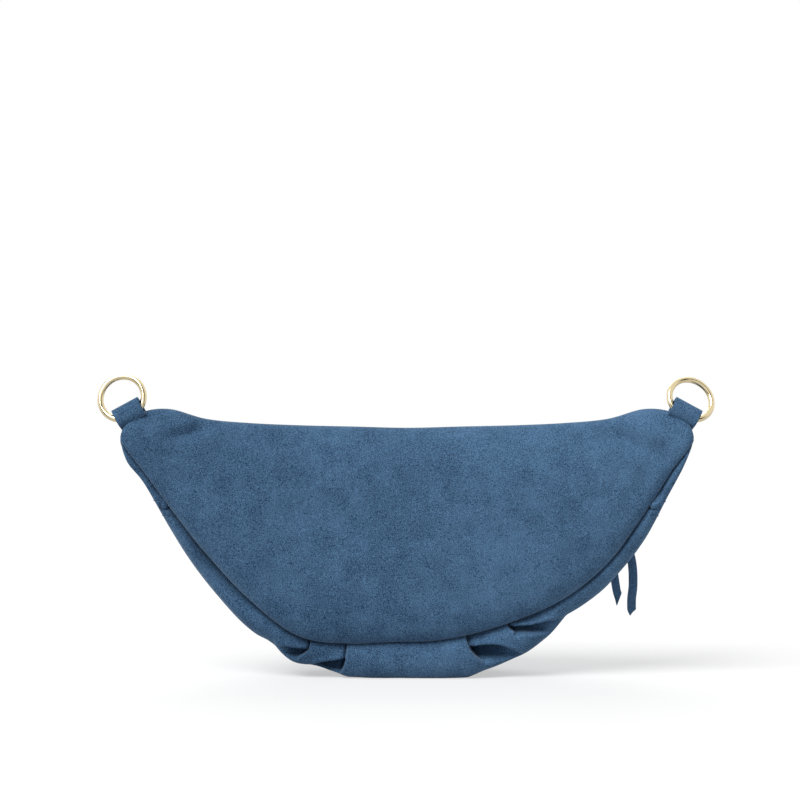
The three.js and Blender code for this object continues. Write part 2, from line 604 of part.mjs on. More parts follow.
// The slider: two plates held apart by the diamond that parts the teeth, and a bail for the thong
function sliderSolid() {
  const half = SLIDER_LENGTH / 2;
  const tailHalf = FLANGE_START + SLIDER_FLANGE;
  const mouthHalf = SLIDER_MOUTH_HALF_WIDTH;
  const faceOuter = TOOTH_HALF_HEIGHT + GAP - TAPE_MIDDLE;
  const faceInner = -TOOTH_HALF_HEIGHT - GAP - TAPE_MIDDLE;
  const shoulder = half * SHOULDER_SHARE;
  const shape = (inset, run) => [
    [-half - run, -tailHalf + inset], [0, -tailHalf + inset], [shoulder, -mouthHalf + inset],
    [half + run, -mouthHalf + inset], [half + run, mouthHalf - inset], [shoulder, mouthHalf - inset],
    [0, tailHalf - inset], [-half - run, tailHalf - inset],
  ];
  const slab = (points, low, high) => toSolid(prismAlongY(points, low, high));
  const upperPlate = slab(shape(0, 0), faceOuter, faceOuter + SLIDER_PLATE);
  const lowerPlate = slab(shape(0, 0), faceInner - SLIDER_PLATE, faceInner);
  const rim = slab(shape(0, 0), faceInner - SLIDER_PLATE / 2, faceOuter + SLIDER_PLATE / 2)
    .subtract(slab(shape(SLIDER_FLANGE, MARGIN), -OVERRUN, OVERRUN));
  const tapeRoom = slab([[-SLIDER_LENGTH, -OVERRUN], [SLIDER_LENGTH, -OVERRUN], [SLIDER_LENGTH, OVERRUN],
    [-SLIDER_LENGTH, OVERRUN]], -TAPE_INNER - LOOSE_GAP, -TAPE_OUTER + GAP);
  const diamondOutline = [
    [half - DIAMOND_LENGTH, 0], [half, -DIAMOND_HALF_WIDTH], [half, DIAMOND_HALF_WIDTH],
  ];
  const diamond = slab(diamondOutline, faceInner - SLIDER_PLATE / 2, faceOuter + SLIDER_PLATE / 2);
  const bailBase = faceOuter + SLIDER_PLATE / 2;
  const holeTop = faceOuter + SLIDER_PLATE + THONG_THICKNESS + LOOSE_GAP;
  const bailTop = holeTop + BAIL_WALL;
  const bailHalf = BAIL_LENGTH / 2;
  const arch = toSolid(prismAlongX([
    [bailBase, -BAIL_WALL / 2], [bailTop, -BAIL_WALL / 2], [bailTop, BAIL_WALL / 2],
    [bailBase, BAIL_WALL / 2],
  ], -bailHalf, bailHalf));
  const archHole = toSolid(prismAlongX([
    [faceOuter + SLIDER_PLATE, -OVERRUN], [holeTop, -OVERRUN], [holeTop, OVERRUN],
    [faceOuter + SLIDER_PLATE, OVERRUN],
  ], -THONG_WIDTH / 2 - LOOSE_GAP, THONG_WIDTH / 2 + LOOSE_GAP));
  return upperPlate.add(lowerPlate).add(rim.subtract(tapeRoom)).add(diamond).add(arch.subtract(archHole));
}
addPiece('zip_slider', toGeometry(sliderSolid()), materials.metal, zipMatrix(SLIDER_TURN));

// The thong: a suede lace folded over the bail, knotted, with two ends hanging down
function thongSolid() {
  const plateFace = TOOTH_HALF_HEIGHT + GAP - TAPE_MIDDLE + SLIDER_PLATE;
  const innerLow = plateFace + GAP;
  const innerHigh = innerLow + THONG_THICKNESS;
  const outerLow = innerHigh + LOOSE_GAP + BAIL_WALL;
  const outerHigh = outerLow + THONG_THICKNESS;
  const half = THONG_WIDTH / 2;
  const barMiddle = (innerLow + outerHigh) / 2;
  const bend = (radius) => steps(Math.PI, 0, BEND_STEPS)
    .map((a) => [barMiddle + radius * Math.cos(a), radius * Math.sin(a)]);
  const loop = toSolid(prismAlongX([
    [innerLow, -KNOT_DROP], ...bend(barMiddle - innerLow), [outerHigh, -KNOT_DROP],
    [outerLow, -KNOT_DROP], ...bend(barMiddle - innerHigh).reverse(), [innerHigh, -KNOT_DROP],
  ].reverse(), -half, half));
  const knot = new THREE.SphereGeometry(KNOT_RADIUS, KNOT_FACES.around, KNOT_FACES.down);
  const knotDepth = (outerHigh - innerLow) / 2;
  knot.scale(1, knotDepth / KNOT_RADIUS, 1).translate(0, innerLow + knotDepth, -KNOT_DROP);
  let solid = loop.add(toSolid(knot));
  const tails = [
    { length: SHORT_TAIL_LENGTH, turn: SHORT_TAIL_ANGLE },
    { length: LONG_TAIL_LENGTH, turn: LONG_TAIL_ANGLE },
  ];
  tails.forEach(({ length, turn }, i) => {
    const low = innerLow + i * (THONG_THICKNESS + GAP);
    const slant = THONG_WIDTH * THONG_SLANT_SHARE;
    const strip = prismAlongY([[-half, -length], [half, -length + slant], [half, 0], [-half, 0]],
      low, low + THONG_THICKNESS);
    strip.rotateY(-turn).translate(0, 0, -KNOT_DROP);
    solid = solid.add(toSolid(strip));
  });
  return solid;
}
addPiece('zip_thong', toGeometry(thongSolid()), materials.suede, zipMatrix(SLIDER_TURN));

// Strap tabs and their rings
for (const side of ['left', 'right']) {
  const matrix = tabMatrix(side);
  addPiece(`tab_${side}`, prismAlongX(tabOutline(0, true), -TAB_WIDTH / 2, TAB_WIDTH / 2),
    materials.suede, matrix);
  const ring = new THREE.TorusGeometry(RING_RADIUS, RING_WIRE_RADIUS, RING_SIDES, RING_STEPS);
  ring.rotateX(Math.PI / 2).translate(0, 0, RING_RADIUS - RING_PIVOT_RISE).rotateX(-RING_ANGLES[side]);
  ring.translate(0, 0, EYE_RADIUS + SUEDE);
  addPiece(`ring_${side}`, ring, materials.metal, matrix);
}

export default bag;
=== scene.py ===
# %% [markdown]
# # A suede belt bag, seen from the side that is worn against the body
#
# The bag is a half moon of soft suede: one back panel, a front in two panels with a zip between
# them, knife pleats at the bottom and a ring in a loop at each corner. Metal pieces keep their
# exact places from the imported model. The soft pieces are made again here as fine sheets, on the
# same curved sections as the model, so that each one lies where its plain solid lies.

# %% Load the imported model
import math

import bmesh
import bpy
import numpy as np
from mathutils import Matrix, Vector


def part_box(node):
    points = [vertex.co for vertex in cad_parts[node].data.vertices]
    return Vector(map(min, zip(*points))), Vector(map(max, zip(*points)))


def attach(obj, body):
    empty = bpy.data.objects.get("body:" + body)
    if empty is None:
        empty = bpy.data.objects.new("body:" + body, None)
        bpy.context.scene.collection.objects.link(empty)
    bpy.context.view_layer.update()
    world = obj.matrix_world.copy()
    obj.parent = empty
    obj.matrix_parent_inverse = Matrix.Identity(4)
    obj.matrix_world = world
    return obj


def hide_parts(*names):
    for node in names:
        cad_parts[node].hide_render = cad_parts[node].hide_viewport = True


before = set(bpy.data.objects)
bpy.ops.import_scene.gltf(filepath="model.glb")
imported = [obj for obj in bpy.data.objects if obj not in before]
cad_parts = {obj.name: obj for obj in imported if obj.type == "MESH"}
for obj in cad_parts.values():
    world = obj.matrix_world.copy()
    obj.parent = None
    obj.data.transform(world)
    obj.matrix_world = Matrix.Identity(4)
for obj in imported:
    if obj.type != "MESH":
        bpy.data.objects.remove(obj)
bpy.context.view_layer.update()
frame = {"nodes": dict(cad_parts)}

MM = 0.001

# %% [markdown]
# ## Sizes
#
# The sections of the bag follow tables of shares at nine stations from its middle to a tip. A
# smooth curve through nine chosen places keeps the outline easy to change, where a traced outline
# of hundreds of points would not. The zip lies on a cone about a vertical axis, because a flat
# band of leather bent round the body takes that shape.

# %% Sizes of the body, in millimetres
HALF_WIDTH = 185.3
HEIGHT = 177.0
BACK_BULGE = 16.0  # how far the padded back stands out
FRONT_REACH = 50.0  # from the origin forwards to the zip's middle
PLAN_BOW = 64.0  # how far the bag curves back from its middle to its tips
BELLY_REACH = 18.0
ZIP_HEIGHT = 111.0
FRONT_LEAN = 0.17  # the front's slope at the zip, backwards for each step up
TIP_FULLNESS = 3.0
SUEDE = 1.2  # thickness
CLOTH = 0.6  # thickness of linings and tapes
GAP = 0.3  # room between metal pieces that move
FRONT_RADIUS = (HALF_WIDTH ** 2 + PLAN_BOW ** 2) / (2 * PLAN_BOW)
FRONT_AXIS_Y = FRONT_REACH - FRONT_RADIUS
LEAN = math.atan(FRONT_LEAN)

# Shares of the sizes above at the nine stations, from the middle to a tip
TOP_SHARES = (0.922, 0.927, 0.932, 0.941, 0.957, 0.994, 0.986, 0.943, 0.893)
SEAM_LEFT_SHARES = (0.136, 0.129, 0.157, 0.293, 0.463, 0.63, 0.768, 0.848, 0.893)
SEAM_RIGHT_SHARES = (0.136, 0.157, 0.214, 0.298, 0.427, 0.604, 0.763, 0.848, 0.893)
UNDER_LEFT_SHARES = (-0.012, -0.009, 0.049, 0.186, 0.348, 0.543, 0.721, 0.806, 0.893)
UNDER_RIGHT_SHARES = (-0.012, -0.008, 0.073, 0.224, 0.339, 0.498, 0.689, 0.816, 0.893)
TOP_BACKSET_SHARES = (0.09, 0.08, 0.05, -0.005, -0.0625, -0.14, -0.227, -0.294, -0.3125)
SEAM_BACKSET_SHARES = (-0.14, -0.14, -0.14, -0.148, -0.156, -0.172, -0.25, -0.3, -0.3125)
BULGE_SHARES = (1, 1, 0.97, 0.875, 0.75, 0.56, 0.4, 0.26, 0.12)
BELLY_SHARES = (1, 0.95, 0.8, 0.55, 0.28, 0.1, 0, 0, 0)
FLOOR_START_SHARES = (0.085, 0.085, 0.12, 0.2, 0.3, 0.4, 0.45, 0.48, 0.5)
FLOOR_END_SHARES = (0.763, 0.76, 0.7, 0.62, 0.56, 0.55, 0.52, 0.51, 0.5)
# Shares that place the handles of the section's curves
BACK_ROUNDNESS = 3
FRONT_RISE_SHARE = 0.12
UPPER_START_SHARE = 0.45
UPPER_END_SHARE = 0.5
LOWER_HANDLE_SHARE = 0.56
BAND_OUT_SHARE = 0.3
BAND_DOWN_SHARE = 0.12
BAND_UNDER_SHARE = 0.5
print("the zip's curve has a radius of", round(FRONT_RADIUS, 1), "mm")


# %% [markdown]
# ## The curved sections
#
# These functions give any point of the bag's surface. They take whole arrays at once, so that a
# panel of many thousand points is made in one call. A station runs from -1 at the left tip to 1
# at the right one, and a place on the section runs from the back seam round the bottom to the top.

# %% Smooth values between the nine stations
def lerp(a, b, t):
    """The value at a share t of the way from a to b."""
    return a + (b - a) * t


def smooth(value, low, high):
    """Goes from 0 at low to 1 at high, without a corner at either end."""
    t = np.clip((value - low) / (high - low), 0, 1)
    return t * t * (3 - 2 * t)


def from_table(shares, station):
    """A smooth curve through a table's values, the same to the left and to the right."""
    table = np.array(shares, float)
    last = len(table) - 1
    place = np.clip(np.abs(station), 0, 1) * last
    low = np.minimum(np.floor(place), last - 1).astype(int)
    t = place - low
    start, end = table[low], table[low + 1]
    before = table[np.abs(low - 1)]
    after = table[np.minimum(low + 2, last)]
    start_slope = (end - before) / 2
    end_slope = np.where(low + 1 < last, (after - start) / 2, end - start)
    return ((2 * t ** 3 - 3 * t ** 2 + 1) * start + (t ** 3 - 2 * t ** 2 + t) * start_slope
            + (3 * t ** 2 - 2 * t ** 3) * end + (t ** 3 - t ** 2) * end_slope)


def from_sides(left, right, station):
    """A curve with one table for each side, blended at the middle."""
    share = smooth(station, -1 / 8, 1 / 8)
    return lerp(from_table(left, station), from_table(right, station), share)


def station_x(station):
    """Stations lie closer together near the tips, where the outline turns."""
    return HALF_WIDTH * np.sin(np.asarray(station) * math.pi / 2)


def x_station(x):
    return np.arcsin(np.clip(np.asarray(x) / HALF_WIDTH, -1, 1)) * 2 / math.pi


def front_y(x, z):
    """The cone that the zip lies on."""
    radius = FRONT_RADIUS - FRONT_LEAN * (z - ZIP_HEIGHT)
    return FRONT_AXIS_Y + np.sqrt(np.maximum(radius ** 2 - x ** 2, 0))


def underside(station):
    """The height of the bag's lowest line, without its pleats."""
    return np.maximum(HEIGHT * from_sides(UNDER_LEFT_SHARES, UNDER_RIGHT_SHARES, station), 0)


print("half way to the tips the underside is", round(float(underside(0.5)), 1), "mm high")


# %% A point on the back and a point on the front
def corners(station):
    """The section's corners: the top edge, the back seam and the front at the zip's height."""
    x = station_x(station)
    top = (PLAN_BOW * from_table(TOP_BACKSET_SHARES, station),
           HEIGHT * from_table(TOP_SHARES, station))
    seam = (PLAN_BOW * from_table(SEAM_BACKSET_SHARES, station),
            HEIGHT * from_sides(SEAM_LEFT_SHARES, SEAM_RIGHT_SHARES, station))
    middle_z = np.maximum(ZIP_HEIGHT, lerp(underside(station), top[1], FRONT_RISE_SHARE))
    middle = (np.maximum(front_y(x, middle_z), top[0] + TIP_FULLNESS), middle_z)
    return x, top, seam, middle


def back_point(station, turn):
    """A point of the back. turn goes from 0 at the top edge to 1 at the back seam."""
    x, top, seam, _ = corners(station)
    t = (1 - np.cos(turn * math.pi)) / 2
    bulge = BACK_BULGE * from_table(BULGE_SHARES, station)
    swell = np.sqrt(np.maximum(1 - np.abs(2 * t - 1) ** BACK_ROUNDNESS, 0))
    return np.stack([x + 0 * t, lerp(top[0], seam[0], t) - bulge * swell, lerp(top[1], seam[1], t)], -1)


def bezier(points, t):
    """A cubic curve in Y and Z from its end points and its two handles."""
    s = 1 - t
    weights = (s ** 3, 3 * s * s * t, 3 * s * t * t, t ** 3)
    return [sum(w * p[axis] for w, p in zip(weights, points)) for axis in (0, 1)]


def front_point(station, place, under=None):
    """A point of the front. The place goes from 0 at the back seam along the band to 1, along the
    flat underside to 2, up the front to 3 at the zip's height, and to 4 at the top edge."""
    x, top, seam, middle = corners(station)
    under = underside(station) if under is None else under
    span = middle[0] - seam[0]
    floor_start = seam[0] + span * from_table(FLOOR_START_SHARES, station)
    floor_end = seam[0] + span * from_table(FLOOR_END_SHARES, station)
    belly = BELLY_REACH * from_table(BELLY_SHARES, station)
    drop, rise, head = seam[1] - under, middle[1] - under, top[1] - middle[1]
    band = bezier([
        seam,
        (seam[0] - BAND_OUT_SHARE * drop, seam[1] - BAND_DOWN_SHARE * drop),
        (floor_start - BAND_UNDER_SHARE * drop, under),
        (floor_start, under),
    ], np.clip(place, 0, 1))
    floor = (lerp(floor_start, floor_end, np.clip(place - 1, 0, 1)), under + 0 * place)
    front = bezier([
        (floor_end, under),
        (middle[0] + belly, under),
        (middle[0] + FRONT_LEAN * LOWER_HANDLE_SHARE * rise, middle[1] - LOWER_HANDLE_SHARE * rise),
        middle,
    ], np.clip(place - 2, 0, 1))
    brow = bezier([
        middle,
        (middle[0] - FRONT_LEAN * UPPER_START_SHARE * head, middle[1] + UPPER_START_SHARE * head),
        (lerp(top[0], middle[0], UPPER_END_SHARE), top[1]),
        top,
    ], np.clip(place - 3, 0, 1))
    pick = [place < 1, place < 2, place < 3]
    yz = [np.select(pick, [a, b, c], d) for a, b, c, d in zip(band, floor, front, brow)]
    return np.stack([x + 0 * place, yz[0], yz[1]], -1)


# %% Outward directions and a check against the model
def outward(grid):
    """Directions straight out of a grid of points."""
    along = np.gradient(grid, axis=0)
    across = np.gradient(grid, axis=1)
    normal = np.cross(across, along)
    return normal / np.maximum(np.linalg.norm(normal, axis=-1, keepdims=True), 1e-9)


for name, point, last in (("back_panel", back_point, 1), ("front_lower_panel", front_point, 2.9)):
    points = point(np.linspace(-1, 1, 81)[:, None], np.linspace(0, last, 41)[None, :])
    low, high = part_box(name)
    print(name, "model", [round(v / MM, 1) for v in (*low, *high)],
          "here", [round(float(v), 1) for v in (*points.min((0, 1)), *points.max((0, 1)))])


# %% [markdown]
# ## From a grid of points to a sheet of suede
#
# Every panel starts as a grid of points on its outer face. Quads join the points, a mask leaves
# out those that belong to a neighbour, and a second layer 1.2 mm inside the first makes it a closed
# sheet. Solidify would do this too, and does it for the linings, tapes and tabs, but it works out
# its directions from the faces, which at the bag's tips are too narrow for that. A sculpted mesh
# could be freer, but a grid keeps each seam exactly where its neighbour's seam is.

# %% Sheets
def mesh_object(name, points, faces, material=None):
    """A smooth mesh from points in millimetres."""
    mesh = bpy.data.meshes.new(name)
    mesh.from_pydata([tuple(p) for p in np.asarray(points, float) * MM], [], faces)
    mesh.validate()
    for face in mesh.polygons:
        face.use_smooth = True
    made = bpy.data.objects.new(name, mesh)
    bpy.context.scene.collection.objects.link(made)
    if material:
        mesh.materials.append(material)
    return made


def grid_faces(rows, columns, keep=None, tube=False, ring=False):
    """Quads of a grid. A tube's last column meets its first one, and a ring's last row its first."""
    faces = []
    for i in range(rows if ring else rows - 1):
        for j in range(columns if tube else columns - 1):
            if keep is None or keep[i, j]:
                a, b = i * columns, (i + 1) % rows * columns
                k = (j + 1) % columns
                faces.append((a + j, a + k, b + k, b + j))
    return faces


def tube_faces(rows, columns):
    """A tube of rows of points, closed by a cap at either end."""
    first = tuple(reversed(range(columns)))
    last = tuple((rows - 1) * columns + j for j in range(columns))
    return [*grid_faces(rows, columns, tube=True), first, last]


def plain_mesh(source):
    """Bakes the live modifiers of an object into its mesh."""
    depsgraph = bpy.context.evaluated_depsgraph_get()
    baked = bpy.data.meshes.new_from_object(source.evaluated_get(depsgraph))
    source.modifiers.clear()
    source.data = baked
    return source


def weld(source, distance=0.02):
    """Joins points that lie together, as they do where rows bunch up at the tips."""
    shape = bmesh.new()
    shape.from_mesh(source.data)
    bmesh.ops.remove_doubles(shape, verts=shape.verts, dist=distance * MM)
    bmesh.ops.dissolve_degenerate(shape, edges=shape.edges, dist=distance * MM)
    loose = [v for v in shape.verts if not v.link_faces]
    bmesh.ops.delete(shape, geom=loose, context="VERTS")
    shape.to_mesh(source.data)
    shape.free()
    return source


def thicken(source, thickness=SUEDE):
    """Gives a sheet its thickness, inwards from its outer face."""
    wall = source.modifiers.new("wall", "SOLIDIFY")
    wall.thickness = thickness * MM
    wall.offset = -1
    plain_mesh(source)
    for face in source.data.polygons:
        face.use_smooth = True
    return source


def shell(name, outer, ways, keep=None):
    """Suede with both its faces and its rim. ways points outwards at each point of the outer grid."""
    count = outer.shape[0] * outer.shape[1]
    points = np.concatenate([outer.reshape(-1, 3), (outer - ways * SUEDE).reshape(-1, 3)])
    skin = grid_faces(*outer.shape[:2], keep)
    edges = {(a, b) for face in skin for a, b in zip(face, face[1:] + face[:1])}
    faces = skin + [tuple(count + v for v in reversed(face)) for face in skin]
    faces += [(b, a, a + count, b + count) for a, b in sorted(edges) if (b, a) not in edges]
    return mesh_object(name, points, faces)


def report(piece):
    """Prints a piece's size, and hands the piece on."""
    size = [round(v / MM, 1) for v in piece.dimensions]
    print(piece.name, "measures", size, "mm and has", len(piece.data.polygons), "faces")
    return piece


print("a grid of 4 by 3 points has", len(grid_faces(4, 3)), "quads, and a tube of them",
      len(tube_faces(4, 3)), "faces with its caps")


# %% [markdown]
# ## The back panel
#
# The back is one piece of suede, padded out by what the bag holds. Its edge rolls over the seam,
# and near both corners the leather gathers into dents and folds where the loops pull. The roll is
# an arc of a little more than a quarter circle, added past the section's end, so that a dark line
# falls below it, as in the photograph. Dents are soft bumps pushed in along a line, and long faint
# waves keep the leather between them from looking drawn. A cloth simulation could find such folds,
# but not in the places where this bag has them.

# %% Relief of the back panel
BACK_DENTS = (  # x, z, half length, half width, slant in degrees, depth
    (-139, 161.5, 14, 4.0, 14, 4.6),
    (-142, 167.5, 12, 3.0, 12, -1.6),
    (-118, 153, 17, 11, 24, 2.6),
    (-163, 157, 13, 11, -55, -1.8),
    (-124, 164.5, 14, 4, 2, -1.0),
    (139, 158.5, 15, 6.0, -38, 6.0),
    (126, 165.5, 12, 4, 8, -1.3),
    (156, 163, 13, 8, -28, -2.4),
    (160, 148, 15, 8, -46, 2.6),
    (-150, 132, 24, 5, -56, 1.2),
    (150, 126, 22, 6, 56, 1.2),
    (60, 95, 45, 26, 20, 1.4),
    (-70, 110, 38, 24, -24, 1.4),
    (10, 60, 50, 18, -8, 1.2),
)
WAVES = (  # wave length, direction in degrees, phase, height
    (97, 20, 0.4, 0.5),
    (71, 115, 1.9, 0.4),
    (53, 62, 3.1, 0.28),
    (38, 160, 5.2, 0.16),
    (23, 35, 0.8, 0.06),
)


def relief(x, z, dents=()):
    """How far the leather stands out because of its waves and dents."""
    height = 0 * x
    for length, turn, phase, size in WAVES:
        way = x * math.cos(math.radians(turn)) + z * math.sin(math.radians(turn))
        height = height + size * np.sin(2 * math.pi * way / length + phase)
    for cx, cz, length, width, slant, depth in dents:
        c, s = math.cos(math.radians(slant)), math.sin(math.radians(slant))
        u = ((x - cx) * c + (z - cz) * s) / length
        v = ((z - cz) * c - (x - cx) * s) / width
        height = height - depth * np.exp(-u * u - v * v)
    return height


print("the deepest dent goes", max(dent[-1] for dent in BACK_DENTS), "mm in")


# %% Make the back panel
ROLL = 2.6
ROLL_TURN = math.pi * 0.62
ROLL_ROWS = 8
BACK_COLUMNS = 300
BACK_ROWS = 84
REACH = 0.997
TIP_SHARE = 0.15  # over this last share of the stations the rolled edges grow thinner
THIN_SHARE = 0.05  # and over this one the suede does


def rolled_edge(edge, station, up):
    """Rows that curl a panel's edge inwards over its seam."""
    radius = ROLL * np.clip((1 - np.abs(station)) / TIP_SHARE, 0.15, 1)
    rows = []
    for k in range(1, ROLL_ROWS + 1):
        turn = ROLL_TURN * k / ROLL_ROWS
        offset = np.stack([0 * radius, radius * math.sin(turn), up * radius * (1 - math.cos(turn))], -1)
        rows.append(edge + offset)
    return np.stack(rows, 1)


def thinning(station):
    """Suede is pared thin where it is sewn together at the tips."""
    return np.clip((1 - np.abs(station)) / THIN_SHARE, 0.1, 1)


def make_back():
    station = np.linspace(-REACH, REACH, BACK_COLUMNS)
    turn = np.linspace(0, 1, BACK_ROWS)
    grid = back_point(station[:, None], turn[None, :])
    calm = np.maximum(np.sin(turn * math.pi), 0)[None, :] ** 0.7
    calm = calm * smooth(1 - np.abs(station), 0, 0.12)[:, None]
    grid = grid + outward(grid) * (relief(grid[..., 0], grid[..., 2], BACK_DENTS) * calm)[..., None]
    top = rolled_edge(grid[:, 0], station, -1)[:, ::-1]
    low = rolled_edge(grid[:, -1], station, 1)
    grid = np.concatenate([top, grid, low], 1)
    return report(weld(shell("back_suede", grid, outward(grid) * thinning(station)[:, None, None])))


back_suede = make_back()


# %% [markdown]
# ## The front in two panels
#
# The zip parts the front into an upper and a lower panel. Beyond the zip's ends the upper one laps
# over the lower one, in a seam that runs round to the back. For each column of the grid the places
# where the section crosses the height of the panel's edge are looked up, and rows are spread
# between them. That keeps the edges straight, where cutting with a boolean would leave them ragged.

# %% Where a section crosses a height
PANEL_REACH = 0.99
CHAIN_HALF = 145.0  # half the length of the row of teeth
SLOT_HALF = 6.65  # half the height of the slot that shows the zip
SLIT_HALF = 0.2  # the same beyond the zip's ends
HEM = 4.8  # from the slot's edge to the row of stitches


def slot_half(x):
    """Half the height of the slot between the panels at an x."""
    share = np.clip((np.abs(x) - CHAIN_HALF) / SLOT_HALF, 0, 1)
    return lerp(SLOT_HALF, SLIT_HALF, share)


def place_at(station, height):
    """The place on the front's outer side where it reaches a height, for each station."""
    places = np.linspace(1.5, 3.99, 500)
    z = front_point(station[:, None], places[None, :])[..., 2]
    rising = np.maximum.accumulate(z, axis=1) + places * 1e-6
    return np.array([np.interp(h, row, places) for h, row in zip(height, rising)])


def band_place_at(station, height):
    """The place on the band, under the back seam, where it falls to a height."""
    places = np.linspace(0, 1.5, 400)
    z = front_point(station[:, None], places[None, :])[..., 2]
    falling = -np.minimum.accumulate(z, axis=1) + places * 1e-6
    return np.array([np.interp(-h, row, places) for h, row in zip(height, falling)])


def spread(start, end, rows):
    """Rows spread evenly from a start to an end, for each column."""
    return lerp(start[:, None], end[:, None], np.linspace(0, 1, rows)[None, :])


middle_place = place_at(np.zeros(1), [ZIP_HEIGHT])[0]
print("in the middle the front reaches the zip at place", round(float(middle_place), 2))


# %% The folded hems beside the zip
HEM_RISE = 0.5
EDGE_DROP = 0.7
STITCH_DROP = 0.35
STITCH_DENT = 0.8  # half the width of the dent that the stitches pull


def hem_height(x, z):
    """The doubled leather beside the zip stands up a little, and its row of stitches pulls it down.
    Beyond the zip's ends the upper panel's edge lies on the lower panel, one thickness higher."""
    past = np.abs(z - ZIP_HEIGHT) - slot_half(x)
    fold = HEM_RISE * smooth(past, 0, 1.8) * (1 - smooth(past, HEM - 1.2, HEM + 0.4))
    edge = -EDGE_DROP * (1 - smooth(past, -0.1, 1.1))
    line = -STITCH_DROP * np.exp(-((past - HEM) / STITCH_DENT) ** 2)
    beyond = smooth(np.abs(x), CHAIN_HALF + 2, CHAIN_HALF + 9)
    lapped = np.where(z > ZIP_HEIGHT, SUEDE * (1 - smooth(past, HEM, 2.2 * HEM)), 0)
    return fold + edge + line + beyond * lapped


print("heights across the upper hem:", [round(float(hem_height(0, ZIP_HEIGHT + SLOT_HALF + d)), 2)
                                        for d in range(7)])


# %% The front's surface with its tucked seams
NORMAL_STEP = 0.004
TUCK = 1.4
SLACK_TUCK = 6.0
SLACK_MIDDLE = -118.0
SLACK_REACH = 28.0


def front_outward(station, place, under):
    """Outward directions worked out on the section itself, so that bunched rows do no harm."""
    step = NORMAL_STEP
    along = front_point(station + step, place, under) - front_point(station - step, place, under)
    across = front_point(station, place + step, under) - front_point(station, place - step, under)
    normal = np.cross(across, along)
    return normal / np.maximum(np.linalg.norm(normal, axis=-1, keepdims=True), 1e-9)


def band_slack(x):
    """Below the zip's closed end the band hangs slack and falls away from the back panel's edge."""
    return np.exp(-((x - SLACK_MIDDLE) / SLACK_REACH) ** 2)


def front_surface(station, place, under=None, sink=0.0, lap=0.0):
    """The front's outer face, tucked behind the back panel's rolled edge. sink moves it forwards,
    and lap is how deep the upper panel's edge goes behind the lower one. The directions outwards
    come with it, shorter where the suede is thinner."""
    under = underside(station) if under is None else under
    grid = front_point(station, place, under)
    grid[..., 1] += sink
    calm = smooth(place, 0, 0.6) * smooth(4 - place, 0, 0.5) * smooth(1 - np.abs(station), 0.14, 0.34)
    height = relief(grid[..., 0], grid[..., 2] + grid[..., 1]) * calm
    ways = front_outward(station, place, under)
    upright = 1 - smooth(np.abs(ways[..., 2]), 0.5, 0.85)
    height = height + hem_height(grid[..., 0], grid[..., 2]) * upright
    behind = 1 - smooth(grid[..., 2], ZIP_HEIGHT - 0.4, ZIP_HEIGHT + 0.4)
    height = height - lap * (0.3 + 0.7 * upright) * behind
    grid = grid + ways * height[..., None]
    radius = ROLL * np.clip((1 - np.abs(station)) / TIP_SHARE, 0.1, 1) + 0 * place
    slack = band_slack(grid[..., 0])
    low = 1 - smooth(place, 0, 0.3 + 0.45 * slack)
    top = 1 - smooth(4 - place, 0, 0.25)
    grid[..., 1] += low * (radius + TUCK + SLACK_TUCK * slack) + top * radius * 0.8
    grid[..., 2] = np.maximum(grid[..., 2] + low * radius, 0)
    return grid, ways * thinning(station)[..., None]


print("the band is tucked in by up to", ROLL + TUCK + SLACK_TUCK, "mm")


# %% [markdown]
# ## Knife pleats
#
# The lower panel is wider than the seam it is sewn to, and the spare width lies in two knife
# pleats on each side of the middle. Each layer comes out from behind a fold, ends in a lower edge
# that is turned under, and leaves a dark hollow beside the fold, where the layer before it flares
# out. The grid's columns follow the folds and its rows follow the lower edges, so that both stay
# crisp. Cloth simulation could find such folds, but not these ones: the tables hold the heights
# and widths that this bag's pleats have.

